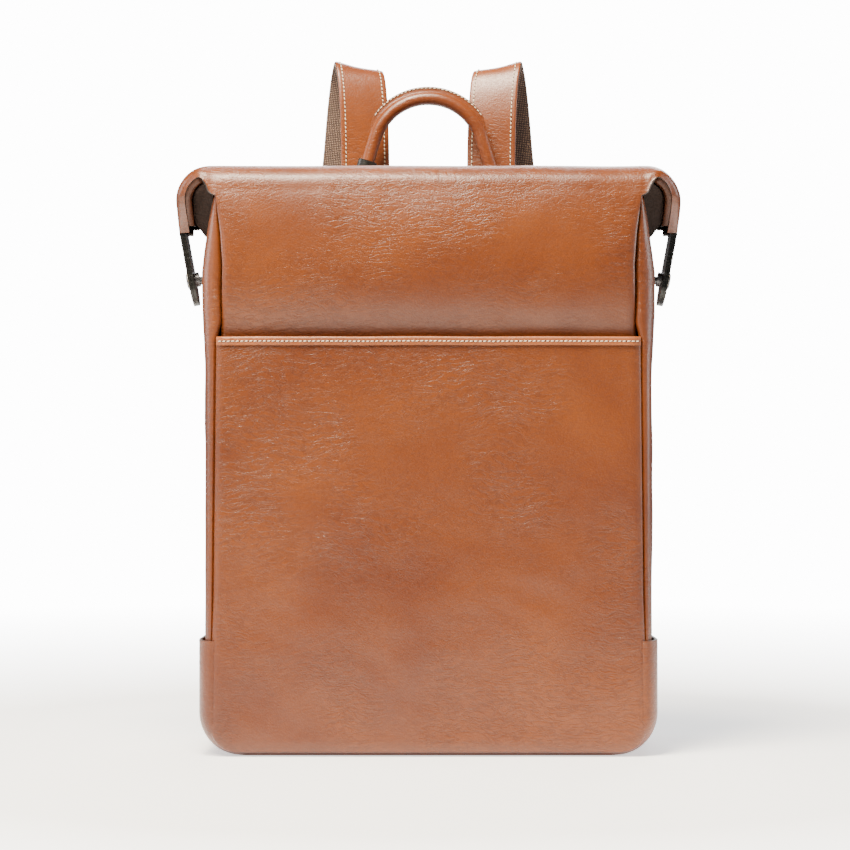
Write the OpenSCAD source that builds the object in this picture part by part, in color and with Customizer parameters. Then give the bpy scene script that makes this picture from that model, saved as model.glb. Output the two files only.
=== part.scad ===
// Leather backpack with folded-down zip ears, a rolled carry handle and webbing-lined straps.
// Millimetres. +Z is up, the front faces -Y, and the origin is the centre of the base on the floor.

/* [Body] */
// Width between the outer faces of the side gussets
body_w = 316; // [312:2:324]
// Width of the front and back panels between their side seams
panel_w = 300; // [296:2:304]
// Depth from the front panel to the back panel
body_d = 120; // [116:2:124]
// Height of the top roll above the floor
body_h = 410; // [400:2:420]
// Thickness of the leather
leather = 2.4; // [2:0.2:2.6]
// Outer radius of the roll along the top edges
roll_r = 22; // [20:1:24]
// Outer radius of the lower corners
corner_r = 28; // [26:1:30]
// Height at which the bottom gusset ends on the sides
bottom_gusset_h = 80; // [60:5:100]

/* [Front pocket] */
// Height of the pocket's top edge above the floor
pocket_h = 290; // [260:5:295]
// Height of the folded strip along the pocket's top edge
binding_h = 6; // [4:1:10]

/* [Top closure] */
// Half length of the zip that opens between the two corners
mouth_half = 118; // [110:1:120]
// Outer radius of the bend where an ear turns down
ear_r = 25; // [24:1:26]
// Length of a tab from its hinge to its round end
tab_l = 51; // [46:1:56]
// Width of a tab
tab_w = 28; // [22:1:32]
// Lean of a tab from upright, in degrees
tab_lean = 10.4; // [8:0.2:12]

/* [Handle] */
// Radius of the rolled grip
grip_r = 5; // [4:0.2:5]
// Radius of the handle's arch
arch_r = 41; // [36:1:42]
// Height of the centre of the arch above the floor
arch_z = 429; // [424:1:434]
// Lean of each leg from upright, in degrees
leg_lean = 17; // [14:1:20]

/* [Shoulder straps] */
// Width of a shoulder strap
strap_w = 36; // [32:1:38]
// Width of the lower webbing
webbing_w = 30; // [28:1:30]
// Thickness of the webbing
webbing = 1.8; // [1.4:0.1:1.8]
// Lean of the lower webbing from upright, in degrees
webbing_lean = 12.86; // [12:0.2:14]
// Distance of the adjuster from the strap ring
adjuster_at = 135; // [120:1:137]

/* [Hidden] */
$fn = 64;

half_w = body_w / 2;
half_p = panel_w / 2;
half_d = body_d / 2;
gap = 0.4;

// The soft pocket space behind the pocket leather, and where the front panel tucks in behind it.
tuck = 5.6;
tuck_z = pocket_h + 2;
full_z = pocket_h + 22;
panel_z = 2.6;
panel_r = 20;
base_t = 2.2;

// The top roll, and the crease on it where each half of the mouth turns.
roll_y = half_d - roll_r;
roll_z = body_h - roll_r;
crease = 45;
hinge_y = roll_y + (roll_r - leather / 2) * cos(crease);
hinge_z = roll_z + (roll_r - leather / 2) * sin(crease);
lip_y = 9;
lip_z = body_h - 4.6;

// The zip: two chains on two tapes, with the slider's web running in the slit between them.
slit = 0.6;
chain_w = 2.8;
chain_z0 = body_h - 9.1;
chain_z1 = body_h - 5.7;
tape_z0 = body_h - 7.8;
tape_t = 0.8;
slider_x = -(mouth_half + 7);
slider_w = 10;
slider_l = 12;
plate_t = 1.6;
puller_z = chain_z1 + gap + plate_t + 1.1;

// The ears: a bend of radius ear_r about [ear_x, ear_z], then straight down to the tip.
ear_x = half_p + 2;
ear_z = body_h - ear_r;
ear_t = 8;
ear_mid = ear_r - ear_t / 2;
ear_pivot = [ear_x + ear_mid * sin(crease), ear_z + ear_mid * cos(crease)];
tab_pivot = [ear_x + ear_r - 3, body_h - 46];
tab_t = 4;
snap_at = 32.6;

// The upper gusset leans in to meet the ears.
lean_z = 335;
lean_top = [half_p - 3, body_h - 14];
chamfer = [half_w - half_p, 12];

// The handle: an arch, then legs that lean outwards, the lower part of each being fixed to the back.
handle_y = half_d + 6;
handle_z = 432;
arch_end = [arch_r * cos(leg_lean), arch_z + arch_r * sin(leg_lean)];
patch_t = 3;
tag_pin = [-83, 401];

// The shoulder strap's line: [x, y, z, twist in degrees], from its upper seam over the top and down the back.
strap_path = [
    [47, 71.4, 341, 0], [47, 74.2, 366, -2], [47, 78, 396, -5],
    [47, 80.5, 430, -8], [48, 83, 463, -10], [50, 89, 486.5, -11], [53, 98, 495, -11],
    [56, 107.5, 486.5, -11], [59, 114, 463, -10], [62, 119, 430, -7], [66, 124, 396, -4],
    [73, 127.5, 362, -2], [83, 126.5, 330, 0],
    [93, 121.5, 303, 0], [100.5, 115.4, 281, 0], [104, 109.9, 262, 0], [104, 104.9, 240, 0]
];
path_steps = 5;
strap_leather = 2.4;
lower_x = 104;
lower_o = [69, 82.9];
lower_l = 160.5;
moving_l = 10.5;
return_y = 5.7;
ring_r = 1.2;
ring_l = 34;
anchor = [64.8, 68];

leather_c = "peru";
dark_c = [0.16, 0.12, 0.11];
lining_c = [0.22, 0.20, 0.19];
metal_c = [0.25, 0.25, 0.27];
webbing_c = [0.30, 0.22, 0.18];

// ---- Helpers ----

// Stretches a [y, z] outline along X, centred.
module along_x(length) {
    rotate([90, 0, 90]) linear_extrude(length, center = true) children();
}

// Stretches an [x, z] outline along Y, centred.
module along_y(length) {
    rotate([90, 0, 0]) linear_extrude(length, center = true) children();
}

// Draws for the right side, or its mirror image for the left.
module on_side(side) {
    if (side > 0) children();
    else mirror([1, 0, 0]) children();
}

module both_sides() {
    for (side = [-1, 1]) on_side(side) children();
}

// A rectangle with four round corners.
module round_rect(w, h, r) {
    square([w - 2 * r, h], center = true);
    square([w, h - 2 * r], center = true);
    for (sx = [-1, 1], sy = [-1, 1]) translate([sx * (w / 2 - r), sy * (h / 2 - r)]) circle(r);
}

// A half strip with round lower corners, from the bottom z up to the top.
module u_outline(half, bottom, top, r) {
    translate([-half, bottom + r]) square([2 * half, top - bottom - r]);
    translate([-(half - r), bottom]) square([2 * (half - r), top - bottom]);
    for (side = [-1, 1]) translate([side * (half - r), bottom + r]) circle(r);
}

// A sector of a ring about the 2D origin, between two angles at most 90 degrees apart.
module ring_sector(r_out, r_in, from, to) {
    far = 2 * r_out;
    middle = (from + to) / 2;
    intersection() {
        difference() {
            circle(r_out);
            circle(r_in);
        }
        polygon([
            [0, 0], far * [cos(from), sin(from)],
            far * [cos(middle), sin(middle)], far * [cos(to), sin(to)]
        ]);
    }
}

// ---- Body ----

module base_panel() {
    color(leather_c) linear_extrude(base_t) round_rect(268, 100, 8);
}

module bottom_gusset() {
    color(leather_c) along_y(2 * (half_d - 12)) difference() {
        u_outline(half_w + leather, base_t, bottom_gusset_h, corner_r + leather);
        translate([0, leather]) u_outline(half_w + 0.2, base_t, bottom_gusset_h + 10, corner_r);
    }
    color(leather_c) short_ends() difference() {
        u_outline(half_p - 0.5, base_t, base_t + corner_r, panel_r + 4);
        translate([0, leather]) u_outline(half_p - 0.5, base_t, 2 * corner_r, panel_r + 4);
    }
}

// The strips that carry the bottom gusset out to the front and back seams.
// From the wide part's ends to just short of the front and back panels.
module short_ends() {
    for (end = [-half_d + 12 - 1.8, half_d - 12 + 4.6]) translate([0, end, 0])
        along_y(end < 0 ? 3.6 : 9.2) children();
}

module base_board() {
    color("dimgray") translate([0, 0, 5]) linear_extrude(2.2) round_rect(240, 90, 6);
}

// The panels' outline seen from the front.
module panel_outline(top) {
    u_outline(half_p, panel_z, top, panel_r);
}

module front_panel() {
    color(leather_c) intersection() {
        along_x(panel_w) mirror([1, 0]) {
            polygon([
                [half_d - tuck, panel_z], [half_d - tuck, tuck_z], [half_d, full_z], [half_d, roll_z],
                [half_d - leather, roll_z], [half_d - leather, full_z],
                [half_d - tuck - leather, tuck_z], [half_d - tuck - leather, panel_z]
            ]);
            translate([roll_y, roll_z]) ring_sector(roll_r, roll_r - leather, 0, crease - 5.5);
        }
        along_y(2 * body_d) panel_outline(body_h);
    }
}

module back_panel() {
    color(leather_c) intersection() {
        along_x(panel_w) {
            translate([half_d - leather, panel_z]) square([leather, roll_z - panel_z]);
            translate([roll_y, roll_z]) ring_sector(roll_r, roll_r - leather, 0, crease - 5.5);
        }
        along_y(2 * body_d) panel_outline(body_h);
    }
}

module back_foam() {
    color("gainsboro") translate([0, half_d - leather - 2.7, 0]) along_y(4.6)
        translate([0, 190]) round_rect(276, 340, 14);
}

// A side gusset: an upright channel, then a strip that leans in under the ear.
module gusset(side) {
    edge = half_p + 0.3;
    depth = half_d - 0.4;
    color(leather_c) on_side(side) difference() {
        union() {
            translate([0, 0, corner_r + 4]) linear_extrude(lean_z - corner_r - 4) polygon([
                [edge, depth], [half_w, depth - chamfer[1] + 0.4], [half_w, -depth + chamfer[1] - 0.4],
                [edge, -depth], [edge, -depth + leather + 1.2],
                [half_w - leather, -depth + chamfer[1] + 0.6],
                [half_w - leather, depth - chamfer[1] - 0.6], [edge, depth - leather - 1.2]
            ]);
            along_y(2 * (half_d - leather - gap)) polygon([
                [half_w, lean_z], lean_top, lean_top - [leather, 0], [half_w - leather, lean_z]
            ]);
        }
        snap_axis() cylinder(r = 2.1, h = 12, center = true);
    }
}

module lining() {
    inner = [2 * 143.2, 102, body_h];
    color(lining_c) translate([0, 0.3, 0]) difference() {
        along_y(103.6) u_outline(144, 8, 372, 14);
        along_y(inner[1]) u_outline(inner[0] / 2, 8.8, inner[2], 13.2);
    }
}

module laptop_divider() {
    color(lining_c) translate([0, 22, 0]) along_y(5) translate([0, 156]) round_rect(284, 290, 12);
    color(leather_c) translate([0, 22, 302]) along_x(284) round_rect(7, 2, 0.9);
}

module inner_pocket() {
    color(lining_c) translate([0, -49.8, 0]) along_y(0.8) translate([0, 225]) round_rect(210, 130, 8);
    color(leather_c) translate([0, -49.8, 291]) along_x(210) round_rect(1.6, 1.9, 0.6);
}

// ---- Front pocket ----

module front_pocket() {
    color(leather_c) translate([0, -half_d - 2 + leather / 2, 0]) along_y(leather) panel_outline(pocket_h);
}

module pocket_binding() {
    color(leather_c) translate([-half_p, -half_d - 3.2, pocket_h - binding_h])
        cube([panel_w, 1.2, binding_h]);
}

// ---- Top closure ----

// One half of the top leather between its crease and the zip, for the back.
module top_half_outline(from) {
    translate([roll_y, roll_z]) ring_sector(roll_r, roll_r - leather, from, 90);
    polygon([
        [roll_y, body_h], [lip_y, lip_z], [lip_y, lip_z - leather], [roll_y, body_h - leather]
    ]);
}

module flap_outline() {
    translate([hinge_y, hinge_z]) circle(leather / 2);
    top_half_outline(crease);
}

module tape_outline() {
    translate([slit + chain_w, tape_z0]) square([12, tape_t]);
}

module chain_outline() {
    translate([slit, chain_z0]) square([chain_w, chain_z1 - chain_z0]);
}

module flap(end) {
    color(leather_c) along_x(2 * mouth_half - 0.6) mirror([end < 0 ? 1 : 0, 0]) flap_outline();
}

module zip_tape(end) {
    color(dark_c) along_x(2 * mouth_half - 0.6) mirror([end < 0 ? 1 : 0, 0]) tape_outline();
}

module zip_chain(end) {
    color(metal_c) along_x(2 * mouth_half - 0.6) mirror([end < 0 ? 1 : 0, 0]) chain_outline();
}

// The fixed leather between the mouth and the ear's bend.
module top_corner(side) {
    length = ear_x - mouth_half - 0.2;
    color(leather_c) on_side(side) for (end = [0, 1]) {
        translate([mouth_half + 0.2 + length / 2, 0, 0]) along_x(length)
            mirror([end, 0]) top_half_outline(crease - 4.5);
        translate([0, (end ? -1 : 1) * (lip_y + 20.5), 0]) along_y(41) {
            translate([ear_x, ear_z]) ring_sector(ear_r, ear_r - ear_t, 62, 90);
            translate([ear_x - 3, body_h - ear_t]) square([3, ear_t]);
        }
    }
}

module zip_end(side) {
    length = ear_x - 3.4 - mouth_half - 0.2;
    color(metal_c) on_side(side) translate([mouth_half + 0.2 + length / 2, 0, 0]) along_x(length)
        for (end = [0, 1]) mirror([end, 0]) {
            chain_outline();
            tape_outline();
        }
}

module zip_slider() {
    top_z = chain_z1 + gap;
    base_z = chain_z0 - gap - plate_t;
    color(metal_c) translate([slider_x, 0, 0]) {
        translate([-slider_l / 2, -slider_w / 2, top_z]) cube([slider_l, slider_w, plate_t]);
        translate([-slider_l / 2, -slider_w / 2, base_z]) cube([slider_l, slider_w, plate_t]);
        translate([-slider_l / 2, -0.25, base_z]) cube([slider_l, 0.5, top_z - base_z + 0.5]);
        for (side = [-1, 1]) translate([-slider_l / 2, side * (slider_w / 2 - 0.5) - 0.5, top_z - 1])
            cube([slider_l, 1, 1.2]);
        translate([0, 0, top_z + plate_t + 0.6]) along_y(2.4) intersection() {
            difference() {
                circle(3.2);
                circle(1.7);
            }
            translate([-4, -0.8]) square([8, 5]);
        }
    }
}

// The pull lies along the zip, over the fixed end, on a pin through the slider's bail.
module zip_puller() {
    color(metal_c) translate([slider_x, 0, puller_z]) {
        rotate([90, 0, 0]) cylinder(r = 0.75, h = 6.1, center = true);
        for (arm = [-1, 1]) translate([-12, arm * 2.35 - 0.7, -0.75]) cube([12, 1.4, 1.5]);
        translate([-13.5, -3.05, -0.75]) cube([2, 6.1, 1.5]);
    }
    color(dark_c) translate([slider_x - 18.5, 0, puller_z - 0.8]) linear_extrude(1.6) round_rect(13, 7, 2);
}

// An ear hangs from its bend, wide at the top and narrow at the tip.
module ear(side) {
    color(leather_c) on_side(side) intersection() {
        along_y(2 * half_d) {
            translate(ear_pivot) circle(ear_t / 2);
            translate([ear_x, ear_z]) ring_sector(ear_r, ear_r - ear_t, -3, crease);
            polygon([
                [ear_x + ear_r, ear_z], [ear_x + ear_r - 1, tab_pivot[1] + 3.6],
                [ear_x + ear_r - 6, tab_pivot[1] + 3.6], [ear_x + ear_r - ear_t, ear_z]
            ]);
        }
        along_x(4 * half_w) polygon([
            [-48, ear_pivot[1] + 6], [48, ear_pivot[1] + 6], [44, ear_pivot[1] - 8],
            [18, tab_pivot[1]], [-18, tab_pivot[1]], [-44, ear_pivot[1] - 8]
        ]);
    }
}

module ear_zip(side) {
    color(metal_c) on_side(side) translate([ear_x + ear_r + 0.1, -7, tab_pivot[1] + 5])
        cube([1.3, 14, ear_z - tab_pivot[1] - 6]);
}

// Moves to a tab's frame: -Z runs down the tab, and X is through its thickness, outwards.
module tab_frame() {
    translate([tab_pivot[0], 0, tab_pivot[1]]) rotate([0, tab_lean, 0]) children();
}

module tab_shape() {
    difference() {
        union() {
            translate([-tab_w / 2, -(tab_l - tab_w / 2)]) square([tab_w, tab_l - tab_w / 2]);
            translate([0, -(tab_l - tab_w / 2)]) circle(tab_w / 2);
        }
        translate([0, -snap_at]) circle(2.2);
    }
}

// Two layers of leather, sewn together over the end of the zip.
module tab(side) {
    color(dark_c) on_side(side) tab_frame() {
        for (layer = [-1, 1]) translate([layer * (tab_t / 4 + 0.05), 0, 0])
            rotate([90, 0, 90]) linear_extrude(tab_t / 2 - 0.1, center = true) tab_shape();
        rotate([90, 0, 0]) cylinder(r = 2.2, h = tab_w, center = true);
    }
}

module snap_cap(side) {
    color(metal_c) on_side(side) tab_frame() translate([0, 0, -snap_at]) rotate([0, 90, 0]) {
        translate([0, 0, tab_t / 2 + 0.05]) cylinder(r = 6, h = 1.2);
        translate([0, 0, tab_t / 2 + 1.2]) cylinder(r1 = 6, r2 = 4.6, h = 0.8);
        translate([0, 0, -tab_t / 2 - 0.05]) cylinder(r = 1.9, h = tab_t + 0.2);
    }
}

module snap_socket(side) {
    color(metal_c) on_side(side) tab_frame() translate([-tab_t / 2 - 0.1, 0, -snap_at])
        rotate([0, -90, 0]) difference() {
            cylinder(r = 5.2, h = 3.1);
            translate([0, 0, 1]) cylinder(r = 4.2, h = 5);
        }
}

// Moves to the snap's place on the gusset, with Z along the snap.
module snap_axis() {
    translate([half_w, 0, tab_pivot[1] - snap_at * cos(tab_lean)]) rotate([0, 90, 0]) children();
}

module snap_studs() {
    color(metal_c) both_sides() snap_axis() {
        translate([0, 0, -leather - 1.3]) cylinder(r = 4.5, h = 1.2);
        translate([0, 0, -leather - 1]) cylinder(r = 1.9, h = leather + 4);
        translate([0, 0, 0.1]) cylinder(r = 5, h = 1.3);
        translate([0, 0, 3.4]) cylinder(r = 2.9, h = 2.8);
    }
}

// ---- Handle ----

module handle_patches() {
    color(leather_c) both_sides() translate([53, half_d + 0.1 + patch_t / 2, 372])
        along_y(patch_t) round_rect(28, 40, 8);
}

// Moves to the right leg's frame: the origin is where it meets the arch, and -Z runs down the leg.
module leg_frame() {
    translate([arch_end[0], handle_y, arch_end[1]]) rotate([0, -leg_lean, 0]) children();
}

// The fixed lower part of each leg, down to its patch.
module handle_feet() {
    top = (arch_end[1] - handle_z + grip_r + 2.6) / cos(leg_lean);
    color(leather_c) both_sides() {
        leg_frame() translate([0, 0, -46]) cylinder(r = grip_r, h = 46 - top);
        translate([51.5, half_d + 5.6, 389.5]) cube([13, 5, 13], center = true);
    }
}

// The rolled arch at a given radius, down to its knuckles.
module handle_bar(r) {
    $fn = 32;
    translate([0, handle_y, arch_z]) rotate([90, 0, 0]) rotate([0, 0, leg_lean])
        rotate_extrude(angle = 180 - 2 * leg_lean) translate([arch_r, 0]) circle(r);
    both_sides() leg_frame() {
        drop = (arch_end[1] - handle_z) / cos(leg_lean);
        translate([0, 0, -drop]) cylinder(r = r, h = drop);
        translate([0, 0, -drop]) rotate([0, 90 + leg_lean, 0]) cylinder(r = r + 0.4, h = 12, center = true);
    }
}

module handle_grip() {
    color(leather_c) handle_bar(grip_r);
}

// The sewn flange that stands on the outside of the arch.
module handle_flange() {
    color(leather_c) translate([0, handle_y, arch_z]) rotate([90, 0, 0]) linear_extrude(2, center = true)
        difference() {
            circle(arch_r + grip_r + 3.4, $fn = 96);
            circle(arch_r + grip_r, $fn = 96);
            translate([-100, -100 + (arch_r + 10) * sin(leg_lean)]) square([200, 100]);
        }
}

// A loop round the left foot, with a strip that carries the tag's rivet.
module tag_strap() {
    color(dark_c) mirror([1, 0, 0]) leg_frame() translate([0, 0, -27]) difference() {
        cylinder(r = grip_r + 2.2, h = 9);
        translate([0, 0, -1]) cylinder(r = grip_r + 0.2, h = 11);
    }
    color(dark_c) difference() {
        translate([-68, handle_y + 1.5, 408]) rotate([0, -24, 0]) cube([34, 1.8, 9], center = true);
        mirror([1, 0, 0]) leg_frame() translate([0, 0, -60]) cylinder(r = grip_r + 0.2, h = 60);
    }
    color(metal_c) translate([tag_pin[0], 0, tag_pin[1]]) rotate([-90, 0, 0]) {
        translate([0, 0, half_d + 0.5]) cylinder(r = 3.6, h = 0.8);
        translate([0, 0, half_d + 0.5]) cylinder(r = 1.6, h = 8.6);
    }
}

// A leather tag that hangs beside the handle, behind the back.
module tag() {
    color(leather_c) translate([tag_pin[0], half_d + 3, 0]) along_y(2.6) difference() {
        translate([0, tag_pin[1] - 24]) round_rect(30, 62, 11);
        translate([0, tag_pin[1]]) circle(1.68);
    }
}

// ---- Shoulder straps ----

function mix(a, b, c, d, t) =
    0.5 * (2 * b + (c - a) * t + (2 * a - 5 * b + 4 * c - d) * t * t
    + (3 * b - a - 3 * c + d) * t * t * t);

// A smooth line through the points, with path_steps places from each to the next.
function smooth(pts) = let (last = len(pts) - 1) [
    for (i = [0:last - 1], k = [0:path_steps - 1])
        mix(pts[max(i - 1, 0)], pts[i], pts[i + 1], pts[min(i + 2, last)], k / path_steps),
    pts[last]
];

function place(p) = [p[0], p[1], p[2]];
function unit(v) = v / norm(v);

// The four corners of a band at one place: its width across, between two depths off the line.
function band_ring(line, i, w, d0, d1) =
    let (
        ahead = unit(place(line[min(i + 1, len(line) - 1)]) - place(line[max(i - 1, 0)])),
        flat = unit([1, 0, 0] - ahead[0] * ahead),
        up = cross(ahead, flat),
        turn = line[i][3],
        across = flat * cos(turn) + up * sin(turn),
        depth = cross(ahead, across),
        at = place(line[i])
    )
    [at - across * w / 2 + depth * d0, at + across * w / 2 + depth * d0,
     at + across * w / 2 + depth * d1, at - across * w / 2 + depth * d1];

// A flat band along part of a line.
module band(line, from, to, w, d0, d1) {
    rings = [for (i = [from:to]) band_ring(line, i, w, d0, d1)];
    n = len(rings);
    points = [for (ring = rings) each ring];
    sides = [for (i = [0:n - 2], k = [0:3]) let (a = 4 * i + k, b = 4 * i + (k + 1) % 4)
        [a, b, b + 4, a + 4]];
    polyhedron(points, concat([[3, 2, 1, 0]], sides, [[for (k = [0:3]) 4 * (n - 1) + k]]), 4);
}

strap_line = smooth(strap_path);
strap_last = len(strap_line) - 1;

// The leather face is on the outside of the arch, the webbing on the inside.
module strap_leather(side) {
    color(leather_c) on_side(side) band(strap_line, 0, strap_last, strap_w, -strap_leather, -0.75);
}

module strap_webbing(side) {
    color(webbing_c) on_side(side) band(strap_line, 0, strap_last, strap_w, 0.5, webbing);
}

// The straps' sewn upper ends, between two leather patches.
module strap_bases() {
    color(leather_c) both_sides() translate([47, 0, 296]) along_x(strap_w)
        polygon([
            [66, 0], [66, 22], [70.9, 42.6], [70.9 - strap_leather, 42.9], [66 - strap_leather, 22.5],
            [66 - strap_leather, 0]
        ]);
    color(webbing_c) both_sides() translate([47, 0, 296]) along_x(strap_w)
        polygon([[66.1, 0], [66.1, 22], [71, 42.6], [72.8, 42.3], [67.9, 21.5], [67.9, 0]]);
}

module strap_patches() {
    color(leather_c) both_sides() translate([47, half_d + 9.3, 302]) along_y(2.4)
        round_rect(44, 30, 5);
    color(leather_c) both_sides() translate([47, half_d + 1.75, 302]) along_y(3)
        round_rect(44, 30, 5);
}

// Moves to the lower strap's frame: Z runs up the webbing from the ring, and Y is away from the bag.
module lower_frame() {
    translate([lower_x, lower_o[0], lower_o[1]]) rotate([-webbing_lean, 0, 0]) children();
}

module lower_strap(side) {
    color(webbing_c) on_side(side) lower_frame() along_x(webbing_w)
        translate([-webbing / 2, moving_l]) square([webbing, lower_l - moving_l]);
}

// The webbing's turn round each ring.
module ring_loops() {
    color(webbing_c) both_sides() lower_frame() along_x(webbing_w) {
        for (leg = [0, return_y]) translate([leg - webbing / 2, 0]) square([webbing, moving_l - 2.5]);
        translate([return_y / 2, 0]) intersection() {
            difference() {
                circle(return_y / 2 + webbing / 2);
                circle(return_y / 2 - webbing / 2);
            }
            translate([-10, -20]) square(20);
        }
    }
}

module return_strap(side) {
    length = adjuster_at - 24.2 - moving_l;
    color(webbing_c) on_side(side) lower_frame() translate([0, return_y, moving_l + length / 2])
        cube([webbing_w, webbing, length], center = true);
}

// The end of the webbing, sewn round the adjuster's middle bar.
module strap_end(side) {
    color(webbing_c) on_side(side) lower_frame() translate([0, 0, adjuster_at]) along_x(webbing_w) {
        difference() {
            union() {
                translate([return_y, 0]) circle(3.4);
                translate([return_y - 1.6, -23.8]) square([3.2, 22]);
            }
            translate([return_y, 0]) circle(1.8);
        }
    }
}

// A bent three-bar slide: the end bars pass under the webbing, and the middle bar over it.
module adjuster(side) {
    color(metal_c) on_side(side) lower_frame() translate([0, 0, adjuster_at]) {
        for (end = [-1, 1]) translate([0, -2.9, end * 12]) rotate([0, 90, 0])
            cylinder(r = 1.5, h = webbing_w + 6, center = true);
        translate([0, return_y, 0]) rotate([0, 90, 0]) cylinder(r = 1.5, h = webbing_w + 6, center = true);
        for (rail = [-1, 1]) translate([rail * (webbing_w / 2 + 2.5), 0, 0]) along_x(3) {
            translate([-2.9, 0]) round_rect(3, 27, 1.4);
            translate([1.4, 0]) square([9, 6], center = true);
            translate([return_y, 0]) circle(3);
        }
    }
}

// Where the ring's outer bar lies, in [y, z].
ring_far = [
    lower_o[0] + return_y / 2 * cos(webbing_lean),
    lower_o[1] - return_y / 2 * sin(webbing_lean)
];

// A rectangular ring that joins each webbing to its anchor tab.
module strap_rings() {
    reach = ring_far - anchor;
    middle = (ring_far + anchor) / 2;
    color(metal_c) both_sides() translate([lower_x, middle[0], middle[1]])
        rotate([atan2(reach[1], reach[0]), 0, 0]) linear_extrude(2 * ring_r, center = true) difference() {
            round_rect(ring_l + 2 * ring_r, norm(reach) + 2 * ring_r, 2.4);
            round_rect(ring_l - 2 * ring_r, norm(reach) - 2 * ring_r, 0.8);
        }
}

// Leather folded round the ring's inner bar and sewn to the back.
module anchor_tabs() {
    color(leather_c) both_sides() translate([lower_x, 0, 0]) along_x(30) difference() {
        union() {
            translate([half_d + 0.1, 30]) square([4.7, anchor[1] - 30]);
            translate(anchor) circle(4.6);
        }
        translate(anchor) circle(2);
        translate([half_d - 3, 0]) square([3.1, 100]);
    }
}

base_panel();
bottom_gusset();
base_board();
front_panel();
back_panel();
back_foam();
gusset(-1);  // gusset_left
gusset(1);  // gusset_right
lining();
laptop_divider();
inner_pocket();
front_pocket();
pocket_binding();
top_corner(-1);  // top_corner_left
top_corner(1);  // top_corner_right
zip_end(-1);  // zip_end_left
zip_end(1);  // zip_end_right
flap(-1);  // flap_front
zip_tape(-1);  // zip_tape_front
zip_chain(-1);  // zip_chain_front
flap(1);  // flap_back
zip_tape(1);  // zip_tape_back
zip_chain(1);  // zip_chain_back
zip_slider();
zip_puller();
ear(-1);  // ear_left
ear_zip(-1);  // ear_zip_left
tab(-1);  // tab_left
snap_cap(-1);  // snap_cap_left
snap_socket(-1);  // snap_socket_left
ear(1);  // ear_right
ear_zip(1);  // ear_zip_right
tab(1);  // tab_right
snap_cap(1);  // snap_cap_right
snap_socket(1);  // snap_socket_right
snap_studs();
handle_patches();
handle_feet();
handle_grip();
handle_flange();
tag_strap();
tag();
strap_patches();
strap_bases();
strap_leather(-1);  // strap_leather_left
strap_webbing(-1);  // strap_webbing_left
lower_strap(-1);  // lower_strap_left
return_strap(-1);  // return_strap_left
adjuster(-1);  // adjuster_left
strap_end(-1);  // strap_end_left
strap_leather(1);  // strap_leather_right
strap_webbing(1);  // strap_webbing_right
lower_strap(1);  // lower_strap_right
return_strap(1);  // return_strap_right
adjuster(1);  // adjuster_right
strap_end(1);  // strap_end_right
ring_loops();
strap_rings();
anchor_tabs();
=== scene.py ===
"""The looks of a leather backpack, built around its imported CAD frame.

Sizes are in millimetres, and become metres where a mesh is placed. The front faces -Y and +Z is up.
"""

import logging
import math
from dataclasses import dataclass, field
from enum import Enum
from typing import Callable, Sequence

import bpy
import numpy as np
from mathutils import Matrix, Vector, noise


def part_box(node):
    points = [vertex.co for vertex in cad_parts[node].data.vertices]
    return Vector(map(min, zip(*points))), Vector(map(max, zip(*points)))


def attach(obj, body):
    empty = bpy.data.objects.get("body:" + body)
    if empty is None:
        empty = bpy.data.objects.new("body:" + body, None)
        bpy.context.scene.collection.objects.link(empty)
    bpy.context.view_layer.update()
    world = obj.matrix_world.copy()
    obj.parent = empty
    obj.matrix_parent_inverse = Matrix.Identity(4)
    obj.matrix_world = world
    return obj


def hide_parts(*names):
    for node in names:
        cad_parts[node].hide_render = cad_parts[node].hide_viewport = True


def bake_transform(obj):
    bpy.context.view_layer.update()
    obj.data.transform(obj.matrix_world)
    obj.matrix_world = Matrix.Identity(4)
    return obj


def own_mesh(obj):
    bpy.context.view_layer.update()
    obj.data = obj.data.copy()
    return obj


LOG = logging.getLogger("backpack")
MM = 0.001

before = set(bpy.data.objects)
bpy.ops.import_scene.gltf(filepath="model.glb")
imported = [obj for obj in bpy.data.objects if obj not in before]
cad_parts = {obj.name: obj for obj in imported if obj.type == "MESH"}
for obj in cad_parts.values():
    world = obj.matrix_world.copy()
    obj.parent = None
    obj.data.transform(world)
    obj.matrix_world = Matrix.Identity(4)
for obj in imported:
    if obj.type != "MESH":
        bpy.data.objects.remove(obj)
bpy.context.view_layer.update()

Place = Callable[[float, float], Sequence[float]]
Weight = Callable[[np.ndarray], np.ndarray]


# ---------------------------------------------------------------- small sums


def ease(value: np.ndarray | float) -> np.ndarray | float:
    """Smooth step of a share from 0 to 1, held at both ends."""
    share = np.clip(value, 0.0, 1.0)
    return share * share * (3 - 2 * share)


def reading(knots: Sequence[tuple[float, float]], at: float) -> float:
    """Value at a place between knots, each a pair of place and value."""
    return float(np.interp(at, [k[0] for k in knots], [k[1] for k in knots]))


def between(rows: Sequence[Sequence[float]], row: float) -> np.ndarray:
    """The values at a row number with a fraction, between the rows on either side."""
    i = min(int(row), len(rows) - 2)
    low, high = np.array(rows[i], float), np.array(rows[i + 1], float)
    return low + (high - low) * (row - i)


def rounding(share: float, limit: float = 0.999) -> float:
    """How far a quarter-round edge has dropped: 0 where it starts, nearly 1 at its end."""
    return 1 - math.sqrt(1 - min(share, limit) ** 2)


def side_name(side: float) -> str:
    """The name of a side, given as -1 for the left or 1 for the right."""
    return "left" if side < 0 else "right"


def waver(x: float, y: float, z: float, size: float, seed: float = 0.0) -> float:
    """Soft noise from about -1 to 1, with features of the given size in millimetres."""
    return noise.noise(Vector((x / size + seed, y / size - seed, z / size + 2 * seed)))


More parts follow.
